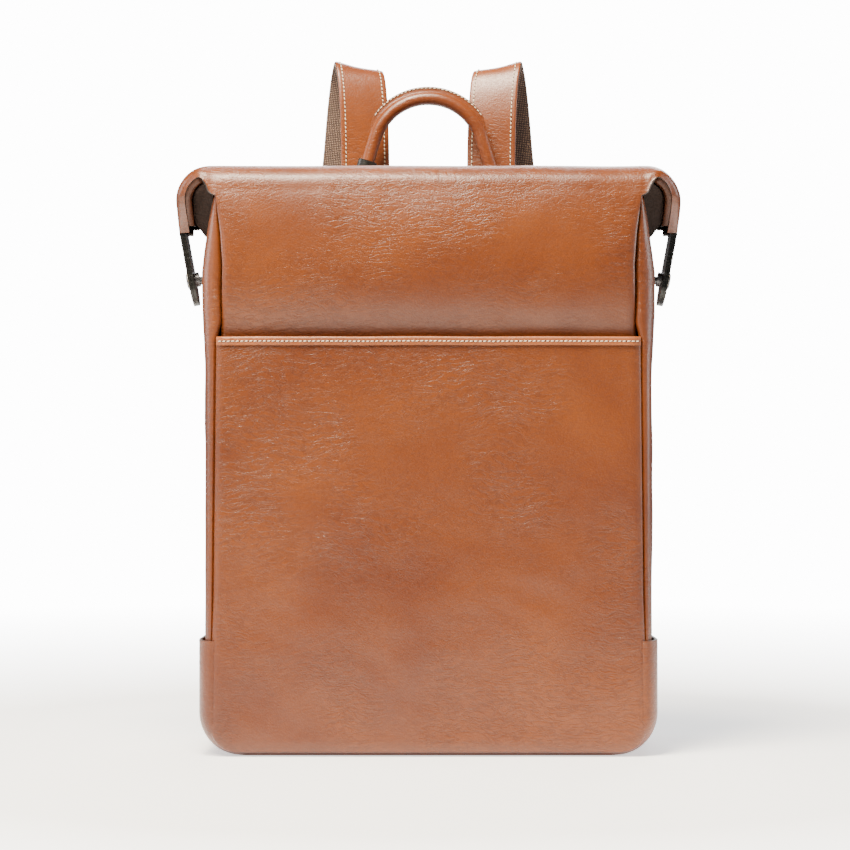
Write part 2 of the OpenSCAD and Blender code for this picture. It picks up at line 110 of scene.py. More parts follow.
def smooth_line(points: Sequence[Sequence[float]], steps: int) -> np.ndarray:
    """A Catmull-Rom line through the points.

    Args:
        points: Rows of numbers, such as x, y, z and a twist.
        steps: Places from each point to the next.

    Returns:
        One row for each place on the line.
    """
    rows = np.array(points, float)
    last = len(rows) - 1
    line = []
    for i in range(last):
        a, b, c, d = rows[max(i - 1, 0)], rows[i], rows[i + 1], rows[min(i + 2, last)]
        for k in range(steps):
            t = k / steps
            bend = 2 * a - 5 * b + 4 * c - d
            twist = 3 * b - a - 3 * c + d
            line.append(0.5 * (2 * b + (c - a) * t + bend * t**2 + twist * t**3))
    line.append(rows[last])
    return np.array(line)


def spaced(line: np.ndarray, pitch: float) -> list[tuple[np.ndarray, np.ndarray, float]]:
    """Evenly spaced places on a line.

    Args:
        line: Points along it, in millimetres.
        pitch: Wanted distance from one place to the next.

    Returns:
        The point, the unit direction and the row number, as a fraction, of each place.
    """
    gaps = np.linalg.norm(np.diff(line, axis=0), axis=1)
    run = np.concatenate([[0], np.cumsum(gaps)])
    count = max(1, round(run[-1] / pitch))
    places = []
    for mark in (np.arange(count) + 0.5) * run[-1] / count:
        i = min(int(np.searchsorted(run, mark, side="right")) - 1, len(gaps) - 1)
        t = (mark - run[i]) / max(gaps[i], 1e-9)
        ahead = (line[i + 1] - line[i]) / max(gaps[i], 1e-9)
        places.append((line[i] + (line[i + 1] - line[i]) * t, ahead, i + t))
    return places


# ---------------------------------------------------------------- the bench


class Bench:
    """The modelling tools, used as by hand."""

    @staticmethod
    def clear() -> None:
        """Leaves edit mode and deselects everything."""
        if bpy.context.object and bpy.context.object.mode != "OBJECT":
            bpy.ops.object.mode_set(mode="OBJECT")
        bpy.ops.object.select_all(action="DESELECT")

    @staticmethod
    def pick(piece: bpy.types.Object) -> None:
        """Makes one piece the active and only selected object."""
        Bench.clear()
        piece.select_set(True)
        bpy.context.view_layer.objects.active = piece

    @staticmethod
    def named(name: str) -> bpy.types.Object:
        """The primitive just added, under its own name, with its place in its mesh."""
        piece = bpy.context.object
        bpy.ops.object.transform_apply(location=True, rotation=True, scale=True)
        piece.name = name
        piece.data.name = name
        return piece

    @staticmethod
    def edit(piece: bpy.types.Object, *steps: Callable[[], object]) -> None:
        """Runs edit-mode steps on all of a piece."""
        Bench.pick(piece)
        bpy.ops.object.mode_set(mode="EDIT")
        bpy.ops.mesh.select_all(action="SELECT")
        for step in steps:
            step()
        bpy.ops.object.mode_set(mode="OBJECT")

    @staticmethod
    def finish(piece: bpy.types.Object, kind: str, **settings: object) -> None:
        """Adds one modifier and applies it.

        Args:
            piece: The object to change.
            kind: The modifier's type, such as SOLIDIFY.
            settings: Values to set on the modifier.
        """
        Bench.pick(piece)
        modifier = piece.modifiers.new(kind.title(), kind)
        for key, value in settings.items():
            setattr(modifier, key, value)
        bpy.ops.object.modifier_apply(modifier=modifier.name)

    @staticmethod
    def smooth(piece: bpy.types.Object, angle: float = 40) -> None:
        """Shades a piece smooth, with a crease where faces meet more sharply than the angle."""
        Bench.pick(piece)
        bpy.ops.object.shade_smooth_by_angle(angle=math.radians(angle))

    @staticmethod
    def sheet(name: str, columns: Sequence[float], rows: Sequence[float], place: Place,
              out: Sequence[float] | None = None) -> bpy.types.Object:
        """A grid whose points are moved to their places.

        Args:
            name: The piece's name.
            columns: The parameter of each column.
            rows: The parameter of each row.
            place: Gives x, y, z in millimetres for a column and a row.
            out: A direction that the front faces should look along on the whole.

        Returns:
            The new object.
        """
        Bench.clear()
        across, along = len(columns) - 1, len(rows) - 1
        bpy.ops.mesh.primitive_grid_add(x_subdivisions=across, y_subdivisions=along, size=2)
        piece = Bench.named(name)
        marks = []
        for vertex in piece.data.vertices:
            column = round((vertex.co.x + 1) / 2 * across)
            row = round((vertex.co.y + 1) / 2 * along)
            marks.append((columns[column], rows[row]))
            vertex.co = Vector(place(*marks[-1])) * MM
        for loop, spot in zip(piece.data.loops, piece.data.uv_layers.active.data):
            spot.uv = marks[loop.vertex_index]
        piece.data.update()
        if out is not None:
            facing = sum((p.normal * p.area for p in piece.data.polygons), Vector())
            if facing.dot(Vector(out)) < 0:
                Bench.edit(piece, bpy.ops.mesh.flip_normals)
        return piece

    @staticmethod
    def loft(name: str, sections: Sequence[Sequence[Sequence[float]]], caps: bool = True) -> bpy.types.Object:
        """A closed skin through rings of points.

        Args:
            name: The piece's name.
            sections: Rings with the same number of points, in millimetres.
            caps: Whether the two ends are filled.

        Returns:
            The new object, its faces pointing outwards.
        """
        count = len(sections[0])
        piece = Bench.sheet(name, range(count + 1), range(len(sections)),
                            lambda c, r: sections[int(r)][int(c) % count])
        steps = [lambda: bpy.ops.mesh.remove_doubles(threshold=1e-6)]
        if caps:
            steps.append(lambda: bpy.ops.mesh.fill_holes(sides=0))
        steps.append(lambda: bpy.ops.mesh.normals_make_consistent(inside=False))
        Bench.edit(piece, *steps)
        return piece

    @staticmethod
    def repeat(name: str, pattern: bpy.types.Object, places: Sequence[Matrix]) -> bpy.types.Object:
        """One mesh with a copy of a modelled pattern at each place; the pattern stays."""
        count = len(pattern.data.vertices)
        base = np.array([v.co for v in pattern.data.vertices], float)
        faces = [tuple(p.vertices) for p in pattern.data.polygons]
        slots = [p.material_index for p in pattern.data.polygons]
        points, polygons = [], []
        for i, place in enumerate(places):
            turn = np.array(place.to_3x3(), float)
            points.append(base @ turn.T + np.array(place.translation, float))
            polygons.extend(tuple(v + i * count for v in face) for face in faces)
        mesh = bpy.data.meshes.new(name)
        mesh.from_pydata(np.concatenate(points).tolist(), [], polygons)
        for material in pattern.data.materials:
            mesh.materials.append(material)
        mesh.polygons.foreach_set("material_index", slots * len(places))
        mesh.polygons.foreach_set("use_smooth", [True] * len(mesh.polygons))
        piece = bpy.data.objects.new(name, mesh)
        bpy.context.scene.collection.objects.link(piece)
        return piece

    @staticmethod
    def join(name: str, parts: Sequence[bpy.types.Object]) -> bpy.types.Object:
        """Joins parts into the first of them."""
        Bench.clear()
        for part in parts:
            part.select_set(True)
        bpy.context.view_layer.objects.active = parts[0]
        bpy.ops.object.join()
        parts[0].name = name
        parts[0].data.name = name
        return parts[0]

    @staticmethod
    def drop(piece: bpy.types.Object) -> None:
        """Removes a pattern that has been copied."""
        bpy.data.objects.remove(piece)


# ---------------------------------------------------------------- how pieces move


@dataclass(frozen=True)
class Motion:
    """What a piece moves with: one body, or two bodies that it bends between.

    A straight ramp from one body to the other would tear the sewn sides and ends, so the weight function says
    how far each point follows the second body.
    """

    body: str
    bends_to: str | None = None
    weight: Weight | None = None

    def take(self, piece: bpy.types.Object, slot: str, replaces: Sequence[str] = ()) -> bpy.types.Object:
        """Hands a finished piece to its body; a piece that bends between two bodies is only baked in place,
        its shares worked out and not kept.

        Args:
            piece: The finished object.
            slot: The record's material slot; not used.
            replaces: CAD nodes that it stands for.

        Returns:
            The same object.
        """
        if self.bends_to is None:
            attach(piece, self.body)
        else:
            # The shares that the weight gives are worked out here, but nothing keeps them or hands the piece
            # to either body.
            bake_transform(piece)
            points = np.array([v.co for v in piece.data.vertices], float).reshape(-1, 3) / MM
            share = np.clip(self.weight(points), 0, 1).astype(np.float32)
        if replaces:
            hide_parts(*replaces)
        LOG.info("made %s: %d faces, on %s%s", piece.name, len(piece.data.polygons), self.body,
                 f" and {self.bends_to}" if self.bends_to else "")
        return piece


# ---------------------------------------------------------------- finishes


class Nodes:
    """Builds one material's nodes."""

    def __init__(self, name: str) -> None:
        """Starts a material with a shader and an output."""
        self.material = bpy.data.materials.new(name)
        self.material.use_nodes = True
        self.tree = self.material.node_tree
        self.shader = self.tree.nodes["Principled BSDF"]

    def add(self, kind: str, **settings: object) -> bpy.types.Node:
        """Adds a node and sets its properties, or its inputs by name or number."""
        node = self.tree.nodes.new(kind)
        inputs = settings.pop("inputs", {})
        for key, value in settings.items():
            setattr(node, key, value)
        for key, value in inputs.items():
            node.inputs[key].default_value = value
        return node

    def link(self, source: bpy.types.NodeSocket, target: bpy.types.NodeSocket) -> None:
        """Links one socket to another."""
        self.tree.links.new(source, target)

    def object_coords(self, scale: Sequence[float] = (1, 1, 1),
                      turn: Sequence[float] = (0, 0, 0)) -> bpy.types.NodeSocket:
        """Object coordinates, scaled and turned."""
        coords = self.add("ShaderNodeTexCoord")
        mapping = self.add("ShaderNodeMapping", inputs={"Scale": scale, "Rotation": turn})
        self.link(coords.outputs["Object"], mapping.inputs["Vector"])
        return mapping.outputs["Vector"]

    def noise(self, vector: bpy.types.NodeSocket, scale: float, detail: float = 3,
              distortion: float = 0, output: str = "Fac") -> bpy.types.NodeSocket:
        """A noise texture on the given coordinates."""
        node = self.add("ShaderNodeTexNoise",
                        inputs={"Scale": scale, "Detail": detail, "Distortion": distortion})
        self.link(vector, node.inputs["Vector"])
        return node.outputs[output]

    def voronoi(self, vector: bpy.types.NodeSocket, scale: float) -> bpy.types.NodeSocket:
        """Distance from the middle of each cell in a cell pattern on the given coordinates."""
        node = self.add("ShaderNodeTexVoronoi", feature="F1", inputs={"Scale": scale})
        self.link(vector, node.inputs["Vector"])
        return node.outputs["Distance"]

    def ramp(self, value: bpy.types.NodeSocket, low: float, high: float,
             to_low: float = 0, to_high: float = 1) -> bpy.types.NodeSocket:
        """Maps a value from one range to another, held at both ends."""
        node = self.add("ShaderNodeMapRange", inputs={1: low, 2: high, 3: to_low, 4: to_high})
        self.link(value, node.inputs[0])
        return node.outputs[0]

    def math(self, operation: str, first: object, second: object) -> bpy.types.NodeSocket:
        """One sum of two sockets or numbers."""
        node = self.add("ShaderNodeMath", operation=operation)
        for i, value in enumerate((first, second)):
            if isinstance(value, (int, float)):
                node.inputs[i].default_value = value
            else:
                self.link(value, node.inputs[i])
        return node.outputs[0]

    def mix(self, share: bpy.types.NodeSocket, low: object, high: object,
            blend: str = "MIX") -> bpy.types.NodeSocket:
        """Mixes two colours, each a socket or four numbers."""
        node = self.add("ShaderNodeMix", data_type="RGBA", blend_type=blend)
        self.link(share, node.inputs[0])
        for socket, value in ((node.inputs[6], low), (node.inputs[7], high)):
            if isinstance(value, tuple):
                socket.default_value = value
            else:
                self.link(value, socket)
        return node.outputs[2]

    def warp(self, vector: bpy.types.NodeSocket, scale: float, amount: float) -> bpy.types.NodeSocket:
        """Coordinates pushed about by a slow noise, so that a grain flows."""
        push = self.noise(vector, scale, 2, output="Color")
        node = self.add("ShaderNodeVectorMath", operation="MULTIPLY_ADD", inputs={1: (amount,) * 3})
        self.link(push, node.inputs[0])
        self.link(vector, node.inputs[2])
        return node.outputs[0]

    def relief(self, height: bpy.types.NodeSocket, distance: float, strength: float = 1) -> None:
        """Gives the shader a bump of the stated depth in metres."""
        node = self.add("ShaderNodeBump", inputs={"Strength": strength, "Distance": distance})
        self.link(height, node.inputs["Height"])
        self.link(node.outputs["Normal"], self.shader.inputs["Normal"])


def tone(red: int, green: int, blue: int) -> tuple[float, float, float, float]:
    """A display colour from 0 to 255 as the linear colour that a shader takes."""
    linear = [((c / 255 + 0.055) / 1.055) ** 2.4 if c > 10 else c / 255 / 12.92 for c in (red, green, blue)]
    return (*linear, 1.0)


@dataclass(frozen=True)
class Leather:
    """Smooth, part-glossy hide with a fine grain and patches of flowing creases.

    Args:
        name: The material's name.
        pale: Colour of the rubbed areas.
        mid: Colour of the rest.
        deep: Colour in the grain, and painted shade along the creases.
        gloss: Roughness of the surface.
        depth: Depth of the relief in metres.
        coat: Strength of the wax on it.
        crease_turn: How the creases lie, in radians.
        crease_scale: Creases per metre along each axis: few along them, many across.
        crease_patches: Where the creases come and go in a slow noise.
        pebbles: Grain cells per metre.
        pores: Pores per metre.
    """

    name: str
    pale: tuple[int, int, int]
    mid: tuple[int, int, int]
    deep: tuple[int, int, int]
    gloss: float = 0.4
    depth: float = 0.00016
    coat: float = 0.12
    crease_turn: tuple[float, float, float] = (0.0, 0.22, 0.0)
    crease_scale: tuple[float, float, float] = (95, 150, 330)
    crease_patches: tuple[float, float] = (0.38, 0.6)
    pebbles: float = 760
    pores: float = 2400

    def make(self) -> bpy.types.Material:
        """Builds the material."""
        nodes = Nodes(self.name)
        plain = nodes.object_coords()
        flow = nodes.warp(plain, 16, 0.03)
        stretch = nodes.add("ShaderNodeMapping",
                            inputs={"Scale": self.crease_scale, "Rotation": self.crease_turn})
        nodes.link(flow, stretch.inputs["Vector"])
        wander = nodes.noise(stretch.outputs["Vector"], 1, 4, 0.5)
        ridge = nodes.math("ABSOLUTE", nodes.math("SUBTRACT", wander, 0.5), 0)
        patches = nodes.ramp(nodes.noise(plain, 13, 2), *self.crease_patches)
        crease = nodes.ramp(ridge, 0.0, 0.075)
        crease = nodes.math("MAXIMUM", crease, nodes.math("SUBTRACT", 1, patches))
        pebble = nodes.ramp(nodes.voronoi(nodes.warp(plain, 300, 0.0012), self.pebbles), 0.05, 0.75)
        pore = nodes.noise(plain, self.pores, 2)
        swell = nodes.noise(plain, 55, 2)
        patina = nodes.ramp(nodes.noise(flow, 9, 4, 0.4), 0.32, 0.68)
        fine = nodes.ramp(nodes.noise(stretch.outputs["Vector"], 3.2, 3), 0.3, 0.7)
        body = nodes.mix(patina, tone(*self.mid), tone(*self.pale))
        grained = nodes.mix(nodes.math("MULTIPLY", fine, 0.22), body, tone(*self.deep))
        grained = nodes.mix(nodes.math("MULTIPLY", pebble, 0.16), grained, tone(*self.deep))
        # The crease lines are darkened towards the deep colour: painted shade in their valleys, on top of
        # their bump.
        nodes.link(nodes.mix(nodes.ramp(crease, 0, 1, 0.72, 1), tone(*self.deep), grained),
                   nodes.shader.inputs["Base Color"])
        height = nodes.math("MULTIPLY", nodes.math("SUBTRACT", 1, pebble), 0.42)
        height = nodes.math("ADD", height, nodes.math("MULTIPLY", crease, 0.7))
        height = nodes.math("ADD", height, nodes.math("MULTIPLY", pore, 0.22))
        height = nodes.math("ADD", height, nodes.math("MULTIPLY", swell, 3.0))
        nodes.relief(height, self.depth)
        nodes.link(nodes.ramp(fine, 0, 1, self.gloss - 0.05, self.gloss + 0.09),
                   nodes.shader.inputs["Roughness"])
        nodes.shader.inputs["Specular IOR Level"].default_value = 0.2 + 2 * self.coat
        nodes.shader.inputs["Coat Weight"].default_value = self.coat
        nodes.shader.inputs["Coat Roughness"].default_value = 0.3
        return nodes.material


@dataclass(frozen=True)
class EdgePaint:
    """Thick paint on a cut edge, slightly uneven."""

    name: str
    colour: tuple[int, int, int]

    def make(self) -> bpy.types.Material:
        """Builds the material."""
        nodes = Nodes(self.name)
        coords = nodes.object_coords()
        patch = nodes.ramp(nodes.noise(coords, 160, 3), 0.3, 0.7)
        dark = tuple(int(c * 0.55) for c in self.colour)
        nodes.link(nodes.mix(patch, tone(*dark), tone(*self.colour)), nodes.shader.inputs["Base Color"])
        nodes.relief(nodes.noise(coords, 700, 3), 0.0003, 0.6)
        nodes.link(nodes.ramp(patch, 0, 1, 0.3, 0.5), nodes.shader.inputs["Roughness"])
        return nodes.material


@dataclass(frozen=True)
class Webbing:
    """Heavy woven tape with pale flecks, on the piece's own UV map in millimetres."""

    name: str
    dark: tuple[int, int, int]
    fleck: tuple[int, int, int]
    pitch: float = 1.9

    def make(self) -> bpy.types.Material:
        """Builds the material."""
        nodes = Nodes(self.name)
        uv = nodes.add("ShaderNodeUVMap", uv_map="UVMap")
        turned = nodes.add("ShaderNodeMapping",
                           inputs={"Rotation": (0, 0, math.radians(45)),
                                   "Scale": (math.tau / self.pitch,) * 3})
        nodes.link(uv.outputs["UV"], turned.inputs["Vector"])
        parts = nodes.add("ShaderNodeSeparateXYZ")
        nodes.link(turned.outputs["Vector"], parts.inputs[0])
        waves = [nodes.math("SINE", parts.outputs[i], 0) for i in (0, 1)]
        weave = nodes.math("MULTIPLY", waves[0], waves[1])
        fleck = nodes.ramp(weave, 0.35, 0.7)
        fibre = nodes.noise(nodes.object_coords(), 2600, 2)
        mixed = nodes.mix(fleck, tone(*self.dark), tone(*self.fleck))
        shade = nodes.ramp(fibre, 0.3, 0.7, 0, 0.35)
        nodes.link(nodes.mix(shade, mixed, tone(20, 13, 10)), nodes.shader.inputs["Base Color"])
        high = nodes.math("ADD", nodes.math("ABSOLUTE", weave, 0), nodes.math("MULTIPLY", fibre, 0.3))
        nodes.relief(high, 0.0005, 0.9)
        nodes.link(nodes.ramp(fibre, 0, 1, 0.75, 0.95), nodes.shader.inputs["Roughness"])
        nodes.shader.inputs["Sheen Weight"].default_value = 0.25
        return nodes.material


@dataclass(frozen=True)
class Cloth:
    """Fine plain weave for the lining and the zip's tapes."""

    name: str
    warp: tuple[int, int, int]
    weft: tuple[int, int, int]
    threads: float = 1500

    def make(self) -> bpy.types.Material:
        """Builds the material."""
        nodes = Nodes(self.name)
        parts = nodes.add("ShaderNodeSeparateXYZ")
        nodes.link(nodes.object_coords((math.tau * self.threads / 4,) * 3), parts.inputs[0])
        across = nodes.math("SINE", nodes.math("ADD", parts.outputs[0], parts.outputs[1]), 0)
        along = nodes.math("SINE", parts.outputs[2], 0)
        weave = nodes.ramp(nodes.math("MULTIPLY", across, along), -0.6, 0.6)
        slub = nodes.ramp(nodes.noise(nodes.object_coords((90, 90, 400)), 1, 3), 0.3, 0.7, 0, 0.4)
        woven = nodes.mix(weave, tone(*self.warp), tone(*self.weft))
        nodes.link(nodes.mix(slub, woven, tone(*self.warp)), nodes.shader.inputs["Base Color"])
        nodes.relief(weave, 0.0002, 0.7)
        nodes.link(nodes.ramp(slub, 0, 0.4, 0.8, 0.95), nodes.shader.inputs["Roughness"])
        nodes.shader.inputs["Sheen Weight"].default_value = 0.2
        return nodes.material


@dataclass(frozen=True)
class Metal:
    """Plated metal with rubbed highs and a fine brushed surface."""

    name: str
    colour: tuple[int, int, int]
    rubbed: tuple[int, int, int]
    gloss: float = 0.28

    def make(self) -> bpy.types.Material:
        """Builds the material."""
        nodes = Nodes(self.name)
        coords = nodes.object_coords()
        rub = nodes.ramp(nodes.noise(coords, 240, 4), 0.45, 0.75)
        nodes.link(nodes.mix(rub, tone(*self.colour), tone(*self.rubbed)), nodes.shader.inputs["Base Color"])
        nodes.shader.inputs["Metallic"].default_value = 1.0
        nodes.link(nodes.ramp(nodes.noise(coords, 900, 3), 0.3, 0.7, self.gloss, self.gloss + 0.16),
                   nodes.shader.inputs["Roughness"])
        nodes.relief(nodes.noise(coords, 1400, 2), 0.00006, 0.4)
        return nodes.material


@dataclass(frozen=True)
class Thread:
    """Waxed linen thread with a twist."""

    name: str
    colour: tuple[int, int, int]

    def make(self) -> bpy.types.Material:
        """Builds the material."""
        nodes = Nodes(self.name)
        coords = nodes.object_coords((1, 1, 1), (0.3, 0.6, 0.2))
        twist = nodes.ramp(nodes.noise(coords, 2400, 1), 0.35, 0.65)
        soiled = tuple(int(c * 0.78) for c in self.colour)
        nodes.link(nodes.mix(twist, tone(*soiled), tone(*self.colour)), nodes.shader.inputs["Base Color"])
        nodes.relief(twist, 0.0001, 0.6)
        nodes.link(nodes.ramp(twist, 0, 1, 0.62, 0.48), nodes.shader.inputs["Roughness"])
        return nodes.material


class Finish(Enum):
    """Every finish on the bag."""

    TAN = Leather("tan_hide", (121, 61, 20), (96, 43, 13), (48, 18, 6), 0.35)
    STRAP = Leather("strap_hide", (128, 66, 26), (104, 48, 18), (54, 22, 9), 0.34, 0.00012)
    FOLD = Leather("folded_hide", (160, 90, 48), (136, 73, 37), (74, 35, 17), 0.42, 0.00012)
    # Darker brown hide: the leather's own colour on the bindings and the puller's sleeve, and painted shade
    # on the ears' inner bands, which are tan gusset leather.
    UNDER = Leather("brown_and_painted_shade_hide", (84, 44, 22), (62, 32, 17), (34, 18, 10), 0.5, 0.00012, 0.05)
    DARK = Leather("dark_hide", (34, 33, 30), (21, 22, 21), (12, 12, 11), 0.26, 0.0001)
    # Bellows: the tan gusset leather folded into the ear, painted near-black as shade.
    SHADE = Leather("bellows_painted_shade_hide", (40, 22, 13), (25, 14, 9), (11, 7, 5), 0.8, 0.00014, 0.0)
    EDGE = EdgePaint("edge_paint", (70, 56, 48))
    # Awl holes drawn as flat dark discs: painted shade inside the holes.
    HOLE = EdgePaint("awl_hole_painted_shade", (24, 15, 12))
    THREAD = Thread("linen_thread", (242, 226, 200))
    WEBBING = Webbing("flecked_webbing", (66, 42, 34), (196, 160, 132))
    LINING = Cloth("lining_cotton", (58, 50, 46), (82, 72, 66))
    TAPE = Cloth("zip_tape_cloth", (30, 22, 19), (48, 37, 32), 2200)
    NICKEL = Metal("black_nickel", (58, 56, 56), (120, 116, 112))
    TEETH = Metal("antique_teeth", (96, 78, 56), (170, 145, 108), 0.32)

    @property
    def material(self) -> bpy.types.Material:
        """The material, built once."""
        found = bpy.data.materials.get(self.value.name)
        return found or self.value.make()


def dress(piece: bpy.types.Object, *finishes: Finish) -> bpy.types.Object:
    """Gives a piece its finishes, the first on all of it unless its faces say otherwise."""
    piece.data.materials.clear()
    for finish in finishes:
        piece.data.materials.append(finish.material)
    return piece


def hide(piece: bpy.types.Object, thickness: float, face: Finish, angle: float = 50) -> bpy.types.Object:
    """Turns a sheet into leather of a real thickness with painted edges, shaded smooth up to an angle."""
    dress(piece, face, Finish.EDGE)
    Bench.finish(piece, "SOLIDIFY", thickness=thickness * MM, offset=-1, use_quality_normals=True,
                 material_offset_rim=1)
    Bench.smooth(piece, angle)
    return piece


# ---------------------------------------------------------------- seams


@dataclass
class Surface:
    """A sheet's shape, and which way its good side looks.

    Args:
        place: Gives x, y, z in millimetres for a column and a row.
        columns: The column parameters.
        rows: The row parameters.
        out: A direction that the good side faces at the middle of the sheet.
        judge: Number of the row where the side is judged, if the middle row faces another way.
    """

    place: Place
    columns: Sequence[float]
    rows: Sequence[float]
    out: Sequence[float]
    judge: int | None = None
    side: float = field(init=False)

    def __post_init__(self) -> None:
        """Finds which side is the good one."""
        self.side = 1.0
        row = len(self.rows) // 2 if self.judge is None else self.judge
        middle = (self.columns[len(self.columns) // 2], self.rows[row])
        self.side = 1.0 if float(self.normal(*middle) @ np.array(self.out, float)) > 0 else -1.0

    def normal(self, column: float, row: float) -> np.ndarray:
        """The good side's direction at a place."""
        step_c = (max(self.columns) - min(self.columns)) * 1e-3
        step_r = (max(self.rows) - min(self.rows)) * 1e-3
        low_c, high_c = max(column - step_c, min(self.columns)), min(column + step_c, max(self.columns))
        low_r, high_r = max(row - step_r, min(self.rows)), min(row + step_r, max(self.rows))
        across = np.subtract(self.place(high_c, row), self.place(low_c, row))
        along = np.subtract(self.place(column, high_r), self.place(column, low_r))
        normal = np.cross(across, along)
        return self.side * normal / max(np.linalg.norm(normal), 1e-9)

    def sheet(self, name: str) -> bpy.types.Object:
        """The sheet as an object, its front faces on the good side."""
        piece = Bench.sheet(name, self.columns, self.rows, self.place)
        middle = piece.data.polygons[len(piece.data.polygons) // 2]
        sample = self.normal(self.columns[len(self.columns) // 2], self.rows[len(self.rows) // 2])
        if middle.normal.dot(Vector(sample)) < 0:
            Bench.edit(piece, bpy.ops.mesh.flip_normals)
        return piece

    def seam(self, steps: Sequence[tuple[float, float]]) -> tuple[np.ndarray, np.ndarray]:
        """Points and directions along a run of columns and rows."""
        return (np.array([self.place(*step) for step in steps], float),
                np.array([self.normal(*step) for step in steps], float))


@dataclass
class Stitching:
    """Stitches with their awl holes, the holes as dark discs of painted shade, modelled once and set along
    each seam.
    """

    length: float = 2.3
    thick: float = 0.34
    slant: float = 0.16
    pitch: float = 3.1
    hole: float = 0.42
    pattern: bpy.types.Object | None = None

    def model(self) -> bpy.types.Object:
        """Models one stitch and the hole behind it, a dark disc of painted shade, along X with Z outwards."""
        Bench.clear()
        bpy.ops.mesh.primitive_uv_sphere_add(segments=8, ring_count=5, radius=MM,
                                             rotation=(0, math.pi / 2, 0))
        stitch = Bench.named("stitch")
        size = (self.length / 2, self.thick * 1.25, self.thick)
        Bench.edit(stitch, lambda: bpy.ops.transform.resize(value=size),
                   lambda: bpy.ops.transform.rotate(value=-self.slant, orient_axis="Z",
                                                    center_override=(0, 0, 0)))
        dress(stitch, Finish.THREAD)
        # The hole is a flat dark disc behind the stitch: painted shade, not a real hole.
        Bench.clear()
        bpy.ops.mesh.primitive_cylinder_add(vertices=8, radius=self.hole * MM, depth=0.16 * MM,
                                            location=(self.pitch / 2 * MM, 0, -0.06 * MM))
        hole = Bench.named("awl_hole_painted_shade")
        dress(hole, Finish.HOLE)
        return Bench.join("stitch", [stitch, hole])

    def sew(self, name: str, seam: tuple[np.ndarray, np.ndarray], motion: Motion, slot: str = "tan_leather",
            lift: float = 0.12) -> bpy.types.Object:
        """Sets stitches along a seam.

        Args:
            name: The new piece's name.
            seam: Points and directions along the seam.
            motion: What the stitches move with.
            slot: The record's material slot.
            lift: How far the stitches stand off the surface, in millimetres.

        Returns:
            One object with every stitch of the seam.
        """
        if self.pattern is None:
            self.pattern = self.model()
        line, outs = seam
        places = []
        for point, ahead, row in spaced(line, self.pitch):
            i = min(int(row), len(outs) - 2)
            out = outs[i] + (outs[i + 1] - outs[i]) * (row - i)
            out = out - ahead * float(out @ ahead)
            out = out / max(np.linalg.norm(out), 1e-9)
            turn = Matrix((Vector(ahead), Vector(np.cross(out, ahead)), Vector(out))).transposed()
            places.append(Matrix.Translation(Vector((point + out * lift) * MM)) @ turn.to_4x4())
        piece = Bench.repeat(name, self.pattern, places)
        return motion.take(piece, slot)


# ---------------------------------------------------------------- the body's measures


def box(node: str) -> tuple[np.ndarray, np.ndarray]:
    """A node's lowest and highest corners at rest, in millimetres."""
    low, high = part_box(node)
    return np.array(low, float) / MM, np.array(high, float) / MM


@dataclass(frozen=True)
class Body:
    """The body's main sizes, taken from the frame."""

    deep: float = float(box("back_panel")[1][1])
    top: float = float(box("flap_front")[1][2])
    wide: float = float(box("gusset_right")[1][0])
    pocket_top: float = float(box("front_pocket")[1][2])
    pocket_deep: float = float(-box("front_pocket")[0][1])
    mouth: float = float(box("flap_front")[1][0])
    gusset_top: float = float(box("bottom_gusset")[1][2])
    roll: float = 22.0
    ear_x: float = 152.0
    ear_r: float = 25.0
    seam: float = 147.0

    @property
    def ear_z(self) -> float:
        """Height of the centre of an ear's bend."""
        return self.top - self.ear_r

    @property
    def roll_y(self) -> float:
        """Depth of the centre of the top roll."""
        return self.deep - self.roll

    @property
    def roll_z(self) -> float:
        """Height of the centre of the top roll."""
        return self.top - self.roll

    def half(self, z: float) -> float:
        """Half width of the front leather at a height, measured to its side seam."""
        return reading([(0, 150), (280, 145.5), (300, 143), (340, 142.2), (362, 143.8), (378, 145.8),
                        (388, 147), (410, self.seam)], z)


BODY = Body()


def zip_opening(points: np.ndarray) -> np.ndarray:
    """How far along the mouth a point may open: all the way in the middle, not at all at the corners."""
    return ease((BODY.mouth - 10 - np.abs(points[:, 0])) / 32)


def flap_weight(points: np.ndarray) -> np.ndarray:
    """Share of a flap's turn: none below the crease on the top roll, all above it."""
    depth = np.abs(points[:, 1]) - BODY.roll_y
    angle = np.degrees(np.arctan2(points[:, 2] - BODY.roll_z, np.maximum(depth, 0.01)))
    turn = ease((angle - 22) / 46) * (points[:, 2] > BODY.roll_z)
    return turn * zip_opening(points)


# ---------------------------------------------------------------- front and back


